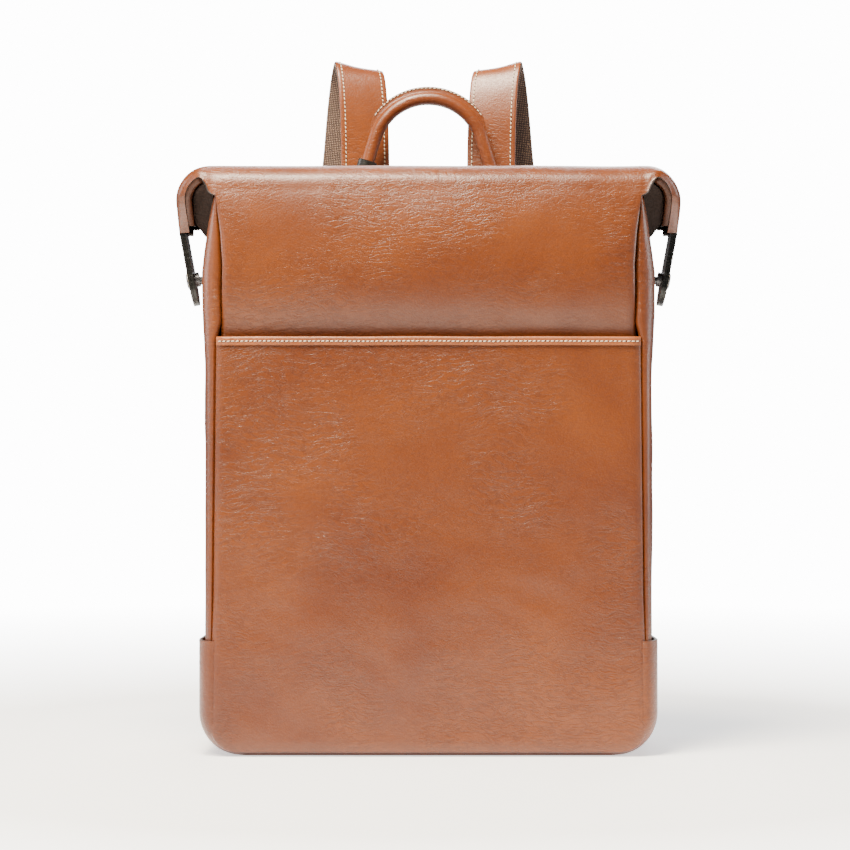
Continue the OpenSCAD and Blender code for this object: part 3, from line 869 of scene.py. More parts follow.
@dataclass
class Shell:
    """The front or back leather: up the face, over the roll and in to the zip."""

    front: bool
    thickness: float = 2.3
    tuck: float = 5.6
    turned: float = 7.0
    lip: float = 9.0
    lip_z: float = 405.4
    back_heights: tuple[float, ...] = (
        3, 8, 14, 22, 30, 40, 50, 58, 66, 80, 95, 110, 125, 140, 155, 170, 185, 200, 215, 230, 245, 256, 264,
        272, 284, 300, 320, 340, 360, 376)
    pad_wide: float = 0.6
    pad_low: float = 45.0
    pad_high: float = 270.0
    channel: float = 30.0

    @property
    def way(self) -> float:
        """-1 at the front, 1 at the back."""
        return -1.0 if self.front else 1.0

    @property
    def label(self) -> str:
        """The side's name."""
        return "front" if self.front else "back"

    def profile(self) -> np.ndarray:
        """The leather's outline from the bottom edge to the zip, as depth and height."""
        deep, tucked = BODY.deep, BODY.deep - self.tuck
        if self.front:
            face = [(tucked, 4), (tucked, 60), (tucked, 140), (tucked, 220), (tucked, 262), (tucked, 280),
                    (tucked + 0.2, 288), (tucked + 1.0, 293), (tucked + 2.8, 298), (tucked + 4.7, 304),
                    (deep + 1.2, 311), (deep + 3.0, 321), (deep + 4.0, 333), (deep + 4.1, 346),
                    (deep + 3.2, 361), (deep + 1.6, 376)]
        else:
            face = [(deep, z) for z in self.back_heights]
        roll = [(BODY.roll_y + BODY.roll * math.cos(a), BODY.roll_z + BODY.roll * math.sin(a))
                for a in np.radians(np.arange(0, 91, 7.5))]
        if self.front:
            ease_in = (-0.3, -0.9, -1.0, -0.7, -0.3)
            roll = [(d + ease_in[i], z) if i < len(ease_in) else (d, z) for i, (d, z) in enumerate(roll)]
        slope = []
        for t in (0.8, 0.6, 0.4, 0.2, 0.07, 0.0):
            rise = ease(1 - (1 - t) ** 1.2)
            slope.append((self.lip + (BODY.roll_y - self.lip) * t,
                          self.lip_z + (BODY.top - self.lip_z) * rise))
        return np.array(face + roll + slope, float)

    def place(self, share: float, row: float) -> tuple[float, float, float]:
        """A point of the good side for a share of the half width, and a row of the profile."""
        deep, z = between(self.rows, row)
        half = BODY.half(z) - (0 if z > 22.6 else 20 - math.sqrt(max(0.0, 400 - (22.6 - z) ** 2)))
        x = share * half
        fall = ease((BODY.roll_z + 4 - z) / 26)
        edge = min(max((abs(x) - half + self.turned) / self.turned, 0), 1)
        deep -= fall * 3.4 * rounding(edge)
        if self.front:
            show = ease((z - 286) / 24) * ease((half - abs(x)) / 16)
            deep += show * fall * 1.3 * (1 - (x / half) ** 2)
            deep += show * (0.9 * waver(x, 0, z, 64, 3.1) + 0.35 * waver(x, 0, z, 23, 7.7)
                            + 0.5 * waver(x * 0.45, 0, z + 0.5 * x, 17, 1.9) * ease((abs(x) - 60) / 70))
            z += 0.5 * waver(x, 5, z, 55, 2.2) * ease((z - 380) / 20)
        else:
            pad = ease((86 - abs(x)) / 14) * ease((z - 50) / 16) * ease((268 - z) / 16)
            channel = 1 - 0.75 * sum(math.exp(-((x - at) / 3.2) ** 2) for at in (-self.channel, self.channel))
            deep += pad * 3.0 * channel + 0.2 * waver(x, 9, z, 40, 5.5) * ease((290 - z) / 30)
        return x, self.way * deep, z

    def motion(self) -> Motion:
        """The sheet turns with its half of the mouth above the crease."""
        return Motion("bag", f"mouth_{self.label}", flap_weight)

    def build(self, stitching: Stitching) -> None:
        """Makes the leather with its seams."""
        self.rows = self.profile()
        dense = np.arange(0, len(self.rows) - 0.99, 0.5)
        inner = list(np.linspace(-0.95, 0.95, 77))
        edges = [-1, -0.997, -0.99, -0.98, -0.966]
        columns = edges + inner + [-c for c in reversed(edges)]
        surface = Surface(self.place, columns, list(dense), (0, self.way, 0.3))
        piece = hide(surface.sheet(f"{self.label}_leather"), self.thickness, Finish.TAN)
        self.motion().take(piece, "tan_leather", [f"{self.label}_panel", f"flap_{self.label}"])
        last = len(self.rows) - 1
        steps = [(share, last - 0.7) for share in np.linspace(-0.985, 0.985, 120)]
        stitching.sew(f"{self.label}_zip_stitches", surface.seam(steps), self.motion())
        if not self.front:
            self.sew_pad(surface, stitching)

    def sew_pad(self, surface: Surface, stitching: Stitching) -> None:
        """Stitches round the back's padded area and down its two channels."""
        heights = self.rows[:len(self.back_heights), 1]

        def row_at(z: float) -> float:
            """The row number at a height."""
            return float(np.interp(z, heights, range(len(heights))))

        wide, low, high = self.pad_wide, self.pad_low, self.pad_high
        frame = [(-wide, z) for z in np.linspace(low, high, 40)]
        frame += [(u, high) for u in np.linspace(-wide, wide, 30)]
        frame += [(wide, z) for z in np.linspace(high, low, 40)]
        frame += [(u, low) for u in np.linspace(wide, -wide, 30)]
        steps = [(u, row_at(z)) for u, z in frame]
        stitching.sew("back_pad_stitches", surface.seam(steps), Motion("bag"))
        for side in (-1, 1):
            steps = [(side * self.channel / 148, row_at(z)) for z in np.linspace(56, 262, 60)]
            stitching.sew(f"back_channel_stitches_{side_name(side)}", surface.seam(steps), Motion("bag"))


# ---------------------------------------------------------------- the front pocket


def pocket_weight(points: np.ndarray) -> np.ndarray:
    """How far the pocket's leather bows: most at the middle of its top."""
    return ease((146 - np.abs(points[:, 0])) / 62) * ease((points[:, 2] - 18) / 104)


@dataclass
class Pocket:
    """The wide front pocket, sewn in at the sides and the bottom, with a folded top edge."""

    thickness: float = 2.0
    corner: float = 20.0
    turned: float = 7.5
    binding: float = 6.0
    foot: float = 2.8
    motion: Motion = Motion("bag", "pocket", pocket_weight)

    def wide(self, z: float) -> float:
        """Half width at a height, to the side seam."""
        return reading([(0, 152.2), (40, 151.2), (110, 148.7), (290, 146.8)], z)

    def half(self, z: float) -> float:
        """Half width at a height, with round lower corners."""
        wide = self.wide(z)
        lift = self.foot + self.corner - z
        return wide if lift <= 0 else wide - self.corner + math.sqrt(max(0.0, self.corner ** 2 - lift ** 2))

    def edge(self, x: float, z: float) -> float:
        """Distance to the outline's nearest edge."""
        wide = self.wide(z)
        lift = self.foot + self.corner - z
        over = abs(x) - (wide - self.corner)
        if lift > 0 and over > 0:
            return self.corner - math.hypot(lift, over)
        return min(wide - abs(x), z - self.foot)

    def place(self, share: float, z: float) -> tuple[float, float, float]:
        """A point of the good side for a share of the half width, and a height."""
        x = share * self.half(z)
        near = min(max(1 - self.edge(x, z) / self.turned, 0), 1)
        deep = BODY.pocket_deep - 4.2 * rounding(near, 0.9995)
        show = ease(self.edge(x, z) / 18) * ease((BODY.pocket_top + 4 - z) / 26)
        deep += show * (0.9 * waver(x, 1, z, 80, 4.4) + 0.4 * waver(x, 1, z, 30, 9.1)
                        + 0.25 * waver(x * 0.5, 1, z + 0.4 * x, 13, 6.3))
        deep += 1.1 * ease((z - 20) / 60) * ease((190 - z) / 120) * (1 - (x / 150) ** 2)
        return x, -deep, z

    def fold(self, share: float, row: float) -> tuple[float, float, float]:
        """A point of the folded top edge: up the outside, over, and down the inside."""
        outline = [(1.35, -self.binding), (1.45, -self.binding + 0.5), (1.3, -3.4), (1.35, -1.2),
                   (0.9, -0.25), (0.1, 0.15), (-0.9, 0.1), (-1.9, -0.4), (-2.4, -1.5), (-2.5, -6.5)]
        out, drop = between(outline, row)
        x, y, _ = self.place(share, BODY.pocket_top - 0.5)
        wave = 0.25 * waver(x, 0, 0, 34, 8.2)
        return x, y - out + 0.1, BODY.pocket_top + drop + wave

    def build(self, stitching: Stitching) -> None:
        """Makes the pocket, its folded edge and its stitches."""
        rows = [self.foot, 3.1, 3.6, 4.4, 5.5, 7, 9, 11.5, 14.5, 18, 22, 26]
        rows += list(np.linspace(31, BODY.pocket_top - 0.6, 66))
        inner = list(np.linspace(-0.94, 0.94, 75))
        edges = [-1, -0.998, -0.994, -0.988, -0.98, -0.968, -0.955]
        surface = Surface(self.place, edges + inner + [-c for c in reversed(edges)], rows, (0, -1, 0))
        piece = hide(surface.sheet("pocket_leather"), self.thickness, Finish.TAN)
        self.motion.take(piece, "tan_leather", ["front_pocket"])
        top = Surface(self.fold, list(np.linspace(-0.998, 0.998, 100)), list(np.linspace(0, 9, 37)),
                      (0, 0, 1))
        piece = hide(top.sheet("pocket_top_fold"), 0.9, Finish.FOLD)
        self.motion.take(piece, "tan_leather", ["pocket_binding"])
        face = Surface(self.fold, top.columns, [0, 1, 2, 3], (0, -1, 0))
        steps = [(u, 2.1) for u in np.linspace(-0.99, 0.99, 150)]
        stitching.sew("pocket_top_stitches", face.seam(steps), self.motion)


# ---------------------------------------------------------------- sides and base


@dataclass
class Gussets:
    """The two side gussets, and the reinforcing gusset round the bottom."""

    thickness: float = 2.3
    base_thickness: float = 2.1
    lean_z: float = 335.0
    lean_top: float = 397.0
    corner: float = 27.0
    foot: float = 2.2
    set_in: float = 0.4
    section: tuple[tuple[float, float], ...] = (
        (-11.2, 55.5), (-10.4, 57.6), (-8.6, 58.9), (-6.3, 58.4), (-4.0, 56.4), (-2.1, 53.2), (-0.8, 48.8),
        (-0.1, 43.0), (0.0, 35.0), (-0.5, 26.0), (-0.9, 17.0), (-1.1, 8.0), (-1.2, 0.0))

    def across(self) -> list[tuple[float, float]]:
        """The section from front to back, as set-in and depth."""
        front = [(o, -y) for o, y in self.section]
        return front + [(o, -y) for o, y in reversed(front[:-1])]

    def side_place(self, side: float) -> Place:
        """The shape of one side's gusset.

        Args:
            side: -1 for the left, 1 for the right.

        Returns:
            A place for a section number and a height.
        """
        section = self.across()

        def place(column: float, z: float) -> tuple[float, float, float]:
            """A point for a section number and a height."""
            out, y = between(section, column)
            lean = max(0.0, (z - self.lean_z) / (self.lean_top - self.lean_z))
            seam = reading([(0, 150.5), (110, 148.2), (286, 146.2), (300, 143.4), (340, 142.4), (362, 143.6),
                            (378, 145.2), (397, 146.4)], z)
            outer = reading([(0, 155.6), (270, 155.6), (305, 157.6), (335, 157.9), (350, 156.2), (370, 153.2),
                             (388, 149.6), (397, 147.6)], z)
            share = 1 + out / 11.2
            x = seam + (outer - seam) * share
            y *= 1 - 0.035 * ease(lean)
            calm = ease((53 - abs(y)) / 14) * (1 - lean) * ease(abs(z - 332) / 26)
            x += calm * (1.3 * waver(3, y, z, 60, 2.7 + side) + 0.5 * waver(1, y, z, 21, 5.7 + side))
            return side * x, y, z

        return place

    def base_place(self, column: float, run: float) -> tuple[float, float, float]:
        """The shape of the bottom gusset, for a section number and a distance along its U."""
        out, y = between(self.across(), column)
        corner, half, foot = self.corner, BODY.wide - self.set_in, self.foot
        arc = corner * math.pi / 2
        middle = half - corner
        s = abs(run)
        side = -1.0 if run < 0 else 1.0
        if s <= middle:
            x, z, nx, nz = s, foot, 0.0, -1.0
            out = min(out, 0) if abs(y) > 50 else 0.0
        elif s <= middle + arc:
            turn = (s - middle) / corner
            nx, nz = math.sin(turn), -math.cos(turn)
            x, z = middle + corner * nx, foot + corner + corner * nz
            out *= 1 if abs(y) > 50 else math.sin(turn)
        else:
            x, z, nx, nz = half, foot + corner + (s - middle - arc), 1.0, 0.0
        swell = 0.8 * ease((foot + corner - z) / 30) if abs(y) > 50 else 0.0
        return side * (x + nx * (out + swell)), y * 1.006, z + nz * out

    def build(self, stitching: Stitching) -> None:
        """Makes both side gussets and the bottom gusset, with seams."""
        columns = list(np.arange(0, 24.01, 0.5))
        for name, side in (("left", -1.0), ("right", 1.0)):
            rows = list(np.linspace(34, self.lean_z, 44))
            rows += list(np.linspace(self.lean_z + 4, self.lean_top, 12))
            surface = Surface(self.side_place(side), columns, rows, (side, 0, 0))
            piece = hide(surface.sheet(f"side_leather_{name}"), self.thickness, Finish.TAN)
            Motion("bag").take(piece, "tan_leather", [f"gusset_{name}"])
        corner = self.corner * math.pi / 2
        reach = BODY.wide - self.set_in - self.corner
        end = reach + corner + BODY.gusset_top - (self.foot + self.corner)
        turn = list(np.linspace(reach, reach + corner, 16))
        up = list(np.linspace(reach + corner + 3, end, 14))
        flat = list(np.linspace(0, reach, 16))[1:-1]
        runs = [-r for r in reversed(flat + turn + up)] + [0.0] + flat + turn + up
        surface = Surface(self.base_place, columns, runs, (0, 0, -1))
        piece = hide(surface.sheet("bottom_leather"), self.base_thickness, Finish.TAN)
        Motion("bag").take(piece, "tan_leather", ["bottom_gusset"])
        for name, side in (("left", -1.0), ("right", 1.0)):
            for row, drop in (("upper", 3.4), ("lower", 9.0)):
                steps = [(c, side * (end - drop)) for c in np.linspace(1.5, 22.5, 70)]
                stitching.sew(f"bottom_{row}_stitches_{name}", surface.seam(steps), Motion("bag"))


# ---------------------------------------------------------------- ears


def ear_weight(points: np.ndarray) -> np.ndarray:
    """Share of an ear's lift: none over the body, all past its bend."""
    return ease((np.abs(points[:, 0]) - 153) / 20)


@dataclass
class Ear:
    """One folded ear: its cover in two halves, an inner band painted darker as shade, and the bellows under
    it, painted near-black as shade.
    """

    side: float
    thickness: float = 2.2
    reach: float = 64.5
    halves: tuple[tuple[float, float], ...] = (
        (0, 60), (6, 59.4), (12, 57.8), (20, 54.6), (30, 51), (40, 47.6), (46, 43.5), (53, 34), (60, 23),
        (65, 17))
    bellows_lower: tuple[tuple[float, float, float], ...] = (
        (158.5, 363.0, 62), (156.3, 364.3, 58), (154, 366.2, 54), (151.6, 369.4, 48), (149.8, 373, 40),
        (148.6, 378, 30), (148.0, 384, 20), (147.6, 390, 10), (147.4, 396, 3))

    @property
    def label(self) -> str:
        """The side's name."""
        return side_name(self.side)

    @property
    def motion(self) -> Motion:
        """The ear bends from the body."""
        return Motion("bag", f"ear_{self.label}", ear_weight)

    def path(self, s: float) -> tuple[float, float, float, float]:
        """A point of the ear's outer line and its direction outwards, a distance from the side seam."""
        flat = BODY.ear_x - BODY.seam
        arc = BODY.ear_r * math.pi / 2
        if s <= flat:
            return BODY.seam + s, BODY.top, 0.0, 1.0
        if s <= flat + arc:
            a = (s - flat) / BODY.ear_r
            return (BODY.ear_x + BODY.ear_r * math.sin(a), BODY.ear_z + BODY.ear_r * math.cos(a),
                    math.sin(a), math.cos(a))
        drop = s - flat - arc
        return BODY.ear_x + BODY.ear_r - 0.0018 * drop ** 2, BODY.ear_z - drop, 1.0, 0.0

    def half(self, s: float) -> float:
        """Half width at a distance along the ear."""
        return reading(self.halves, s)

    def cover(self, way: float, rows: np.ndarray) -> Place:
        """The shape of a half of the cover, from the shell's own rows."""

        def place(s: float, row: float) -> tuple[float, float, float]:
            """A point for a distance along the ear and a row of the shell."""
            deep, z = between(rows, row)
            x0, z0, nx, nz = self.path(s)
            sink = BODY.top - z
            thin = 1 - 0.66 * ease(s / 17)
            lip = 9 - 3 * ease(s / 30)
            y = lip + (deep - 9) / (BODY.deep - 9) * (self.half(s) - lip)
            if deep > BODY.roll_y:
                sink *= thin
            else:
                sink *= 1 - 0.4 * ease(s / 20)
            soft = ease(s / 14) * 0.4 * waver(s * self.side, y * way, 3, 22, 4.1)
            return self.side * (x0 - nx * (sink - soft)), way * y, z0 - nz * (sink - soft)

        return place

    def band(self, way: float) -> Place:
        """The second leather band, just inside the rim."""
        outline = [(6.6, 6.5), (7.2, 2.0), (7.9, 1.2), (9.6, 0.9), (11.2, 1.3), (11.9, 2.4), (12.2, 8.0)]

        def place(s: float, row: float) -> tuple[float, float, float]:
            """A point for a distance along the ear and a row of the band's outline."""
            sink, back = between(outline, row)
            x0, z0, nx, nz = self.path(s)
            back += 9 * (1 - ease((s - 5) / 14))
            return self.side * (x0 - nx * sink), way * (self.half(s) - back), z0 - nz * sink

        return place

    def bellows(self) -> bpy.types.Object:
        """The folded leather that fills the ear, closed at both ends; its near-black finish is painted shade.
        """
        ring = []
        for s in np.linspace(2, 58, 24):
            x0, z0, nx, nz = self.path(s)
            ring.append((x0 - nx * 12.4, z0 - nz * 12.4, s))
        ring.extend(self.bellows_lower)
        middle = np.mean([(x, z) for x, z, _ in ring], axis=0)
        sections = []
        for v in (-1, -0.985, -0.93, -0.7, -0.35, 0, 0.35, 0.7, 0.93, 0.985, 1):
            tight = 1.6 * ease((abs(v) - 0.9) / 0.1)
            section = []
            for x, z, s in ring:
                way = np.array([middle[0] - x, middle[1] - z])
                x2, z2 = np.array([x, z]) + way / max(np.linalg.norm(way), 1) * tight
                section.append((self.side * x2, v * (self.half(s) - 3.4), z2))
            sections.append(section)
        return Bench.loft(f"ear_bellows_{self.label}", sections)

    def build(self, shell_rows: np.ndarray, stitching: Stitching) -> None:
        """Makes the ear.

        Args:
            shell_rows: The shell's profile, whose rows from the roll on the cover continues.
            stitching: The stitches.
        """
        top = shell_rows[shell_rows[:, 1] >= BODY.roll_z - 0.01]
        lengths = [0, 1, 2, 3, 4.5, 6, 8] + list(np.linspace(10, self.reach, 40))
        dense = list(np.arange(0, len(top) - 0.99, 0.5))
        for name, way in (("front", -1.0), ("back", 1.0)):
            surface = Surface(self.cover(way, top), lengths, dense, (self.side * 0.6, way * 0.4, 0.6))
            piece = hide(surface.sheet(f"ear_cover_{name}_{self.label}"), self.thickness, Finish.TAN)
            self.motion.take(piece, "tan_leather", [f"ear_{self.label}"] if way < 0 else [])
            edge = len(top) - 1
            steps = [(s, edge - 0.8) for s in np.linspace(2, self.reach - 3, 40)]
            stitching.sew(f"ear_zip_stitches_{name}_{self.label}", surface.seam(steps), self.motion)
            strip = Surface(self.band(way), list(np.linspace(0.5, 60, 44)), list(np.arange(0, 6.01, 0.5)),
                            (0, way, 0))
            piece = strip.sheet(f"ear_band_{name}_{self.label}")
            # The inner band takes the darker brown finish as painted shade over the tan gusset leather.
            self.motion.take(hide(piece, 1.0, Finish.UNDER), "tan_leather")
        # The bellows' near-black colour is painted shade over the folded gusset leather.
        piece = dress(self.bellows(), Finish.SHADE)
        Bench.smooth(piece, 50)
        self.motion.take(piece, "dark_leather", [f"top_corner_{self.label}"])


# ---------------------------------------------------------------- the zip


@dataclass
class Zip:
    """The top zip's tapes and teeth, along the mouth and down over the ears."""

    pitch: float = 2.3
    half: float = 147.0
    tape_z: float = 402.6
    teeth_z: float = 402.7
    tooth_y: float = 1.7
    tape_thick: float = 0.7

    def along(self, k: int, way: float) -> float:
        """Distance of a tooth from the zip's end: the two sides' teeth take turns."""
        return self.pitch * (k + (0.75 if way > 0 else 0.25))

    def tooth(self) -> bpy.types.Object:
        """Models one tooth, its nose towards -Y."""
        Bench.clear()
        bpy.ops.mesh.primitive_cube_add(size=MM)
        tooth = Bench.named("tooth")
        Bench.edit(tooth, lambda: bpy.ops.transform.resize(value=(1.25, 3.2, 3.0)),
                   lambda: bpy.ops.mesh.bevel(offset=0.35 * MM, segments=1))
        return dress(tooth, Finish.TEETH)

    def build(self, ears: Sequence[Ear]) -> None:
        """Makes the tapes and teeth of the mouth, the fixed ends and the ears."""
        tooth = self.tooth()
        for label, way in (("front", -1.0), ("back", 1.0)):
            motion = Motion("bag", f"mouth_{label}", flap_weight)
            tape = Surface(lambda x, y, way=way: (x, way * y, self.tape_z + 0.15 * waver(x, y, 0, 30)),
                           list(np.linspace(-self.half, self.half, 80)), [3.2, 6, 9, 12, 15.2], (0, 0, 1))
            piece = dress(tape.sheet(f"zip_tape_{label}_cloth"), Finish.TAPE)
            Bench.finish(piece, "SOLIDIFY", thickness=self.tape_thick * MM, offset=0)
            motion.take(piece, "zip_tape", [f"zip_tape_{label}"])
            turn = Matrix.Rotation(0 if way > 0 else math.pi, 4, "Z")
            places = []
            for k in range(int(2 * self.half / self.pitch)):
                at = Vector((self.along(k, way) - self.half, way * self.tooth_y, self.teeth_z))
                places.append(Matrix.Translation(at * MM) @ turn)
            piece = Bench.repeat(f"zip_teeth_{label}", tooth, places)
            motion.take(piece, "black_nickel", [f"zip_chain_{label}"])
        for ear in ears:
            self.ear_zip(ear, tooth)
        Bench.drop(tooth)

    def ear_zip(self, ear: Ear, tooth: bpy.types.Object) -> None:
        """Carries the zip over an ear."""

        def place(s: float, y: float) -> tuple[float, float, float]:
            """A point for a distance along the ear and a depth."""
            x0, z0, nx, nz = ear.path(s)
            sink = 7.4 - 4.6 * ease(s / 30)
            return ear.side * (x0 - nx * sink), y, z0 - nz * sink

        tape = Surface(place, list(np.linspace(0, ear.reach - 1.5, 40)), [-13, -9, -6, -3, 0, 3, 6, 9, 13],
                       (ear.side * 0.6, 0, 0.6))
        piece = dress(tape.sheet(f"ear_tape_{ear.label}"), Finish.TAPE)
        Bench.finish(piece, "SOLIDIFY", thickness=self.tape_thick * MM, offset=0)
        ear.motion.take(piece, "zip_tape", [f"ear_zip_{ear.label}"])
        places = []
        for k in range(int((ear.reach - 4) / self.pitch)):
            for way in (-1.0, 1.0):
                s = 0.6 + self.along(k, way)
                y = way * self.tooth_y
                ahead = np.subtract(place(s + 0.3, y), place(s - 0.3, y))
                ahead = ahead / np.linalg.norm(ahead)
                out = np.cross(ahead, (0, way, 0))
                turn = Matrix((Vector(ahead), Vector((0, way, 0)), Vector(out))).transposed().to_4x4()
                places.append(Matrix.Translation(Vector(place(s, y)) * MM) @ turn)
        piece = Bench.repeat(f"ear_teeth_{ear.label}", tooth, places)
        ear.motion.take(piece, "black_nickel", [f"zip_end_{ear.label}"])


# ---------------------------------------------------------------- the handle


def handle_weight(points: np.ndarray) -> np.ndarray:
    """Share of the handle's fold: none at its feet, all above the knuckles."""
    return ease((points[:, 2] - 421) / 21)


@dataclass
class Handle:
    """The rolled carry handle with its sewn flange, on two patches behind the top edge."""

    y: float = 66.0
    centre: float = 429.0
    radius: float = 41.0
    roll: float = 4.9
    lean: float = 17.0
    flange: float = 3.6
    fin_start: float = 17.5
    flattening: tuple[tuple[float, float, float], ...] = (
        (76, 8.6, 1.3), (68, 8.4, 1.5), (61, 7.6, 2.0), (54, 6.3, 3.2), (48, 5.4, 4.4), (42, 5.0, 4.8))
    motion: Motion = Motion("bag", "handle", handle_weight)

    def line(self) -> list[tuple[float, float, float, float, float]]:
        """Points of the roll with its half width and half depth, from the left patch to the right."""
        lean = math.radians(self.lean)
        end_x, end_z = self.radius * math.cos(lean), self.centre + self.radius * math.sin(lean)
        leg = []
        round_part = tuple((down, self.roll, self.roll) for down in (34, 26, 18, 9))
        for down, wide, deep in self.flattening + round_part:
            y = self.y - (self.roll - deep) * 0.72
            bend = 0.0014 * max(0, down - 46) ** 2
            leg.append((end_x + down * math.sin(lean) - bend * 4, y, end_z - down * math.cos(lean),
                        wide, deep))
        arch = []
        for a in np.linspace(lean, math.pi - lean, 33):
            arch.append((self.radius * math.cos(a), self.y, self.centre + self.radius * math.sin(a),
                         self.roll, self.roll))
        return leg + arch + [(-x, y, z, wide, deep) for x, y, z, wide, deep in reversed(leg)]

    def build(self, stitching: Stitching) -> None:
        """Makes the roll, the flange, the patches and the stitches."""
        line = smooth_line(self.line(), 2)
        sections = []
        for i, (x, y, z, wide, deep) in enumerate(line):
            ahead = line[min(i + 1, len(line) - 1)][:3] - line[max(i - 1, 0)][:3]
            ahead = ahead / np.linalg.norm(ahead)
            side = np.cross(ahead, (0, 1, 0))
            side = side / np.linalg.norm(side)
            bump = 1 + 0.02 * waver(x, y, z, 9, 2.2)
            ring = []
            for k in range(20):
                a = k / 20 * math.tau
                ring.append(np.array([x, y, z]) + side * wide * bump * math.cos(a)
                            + np.array([0, 1, 0]) * deep * bump * math.sin(a))
            sections.append(ring)
        roll = Bench.loft("handle_roll", sections)
        dress(roll, Finish.STRAP)
        Bench.smooth(roll, 60)
        self.motion.take(roll, "tan_leather", ["handle_grip", "handle_feet"])
        self.sew_flange(stitching)
        Patch("handle_patch_left", (-53, 62.9, 372), 28, 40, 8).build(stitching, ["handle_patches"])
        Patch("handle_patch_right", (53, 62.9, 372), 28, 40, 8).build(stitching, [])

    def fin(self, a: float, row: float) -> tuple[float, float, float]:
        """A point of the flange: an angle round the arch, and a row of its section."""
        roll, edge, reach = self.roll, self.roll + self.flange, math.radians(self.fin_start)
        outline = [(roll - 1.2, 1.9), (roll + 0.6, 1.25), (roll + 2.4, 1.1), (edge, 1.0), (edge + 0.3, 0.0),
                   (edge, -1.0), (roll + 2.4, -1.1), (roll + 0.6, -1.25), (roll - 1.2, -1.9)]
        out, y = between(outline, row)
        fade = ease((a - reach) / 0.4) * ease((math.pi - reach - a) / 0.4)
        r = self.radius + out * (0.55 + 0.45 * fade)
        return r * math.cos(a), self.y - y, self.centre + r * math.sin(a)

    def sew_flange(self, stitching: Stitching) -> None:
        """Makes the flange with painted edges and a row of stitches on each face."""
        reach = math.radians(self.fin_start)
        surface = Surface(self.fin, list(np.linspace(reach, math.pi - reach, 70)),
                          list(np.arange(0, 8.01, 0.5)), (0, 0, 1))
        piece = dress(surface.sheet("handle_flange_leather"), Finish.STRAP, Finish.EDGE)
        painted = self.radius + self.roll + 3.3
        for face in piece.data.polygons:
            middle = face.center / MM
            far = math.hypot(middle.x, middle.z - self.centre) > painted
            face.material_index = int(abs(middle.y - self.y) < 1.02 and far)
        Bench.smooth(piece, 40)
        self.motion.take(piece, "tan_leather", ["handle_flange"])
        for name, row, out in (("front", 2.3, -1), ("back", 5.7, 1)):
            half = Surface(self.fin, surface.columns, [row - 0.3, row, row + 0.3], (0, out, 0))
            steps = [(a, row) for a in np.linspace(0.62, math.pi - 0.62, 60)]
            stitching.sew(f"handle_stitches_{name}", half.seam(steps), self.motion, lift=0.15)


@dataclass
class Patch:
    """A round-cornered leather patch sewn round its edge, facing +Y."""

    name: str
    centre: tuple[float, float, float]
    wide: float
    high: float
    corner: float
    thick: float = 2.6
    body: str = "bag"
    face: Finish = Finish.TAN

    def outline(self, inset: float, count: int = 8) -> list[tuple[float, float]]:
        """The patch's outline, set in by a distance."""
        r = max(self.corner - inset, 0.5)
        points = []
        for k, (sx, sz) in enumerate(((1, 1), (-1, 1), (-1, -1), (1, -1))):
            for a in np.linspace(0, math.pi / 2, count):
                turn = a + k * math.pi / 2
                points.append((sx * (self.wide / 2 - inset - r) + r * math.cos(turn),
                               sz * (self.high / 2 - inset - r) + r * math.sin(turn)))
        return points

    def seam(self, inset: float, way: float = 1.0, rise: float = 0.0) -> tuple[np.ndarray, np.ndarray]:
        """Points and directions of the stitches round the patch.

        Args:
            inset: Distance from the patch's edge.
            way: 1 for stitches that face +Y, -1 for -Y.
            rise: How far behind the patch's centre they lie, along +Y.

        Returns:
            The points and the directions.
        """
        x0, y0, z0 = self.centre
        ring = self.outline(inset)
        ring.append(ring[0])
        line = np.array([(x0 + x, y0 + rise, z0 + z) for x, z in ring])
        return line, np.array([(0, way, 0)] * len(line), float)

    def build(self, stitching: Stitching, replaces: Sequence[str]) -> None:
        """Makes the patch and its stitches."""
        x0, y0, z0 = self.centre
        levels = ((0.0, -self.thick), (0.0, -0.5), (0.35, -0.1), (1.0, 0.05), (3.0, 0.0), (5.5, 0.25))
        sections = [[(x0 + x, y0 + out, z0 + z) for x, z in self.outline(inset)] for inset, out in levels]
        piece = Bench.loft(self.name, sections)
        dress(piece, self.face, Finish.EDGE)
        for face in piece.data.polygons:
            face.material_index = int(face.center.y / MM < y0 - 0.15)
        Bench.smooth(piece, 40)
        Motion(self.body).take(piece, "tan_leather", replaces)
        stitching.sew(f"{self.name}_stitches", self.seam(2.4, rise=0.02), Motion(self.body))


# ---------------------------------------------------------------- shoulder straps


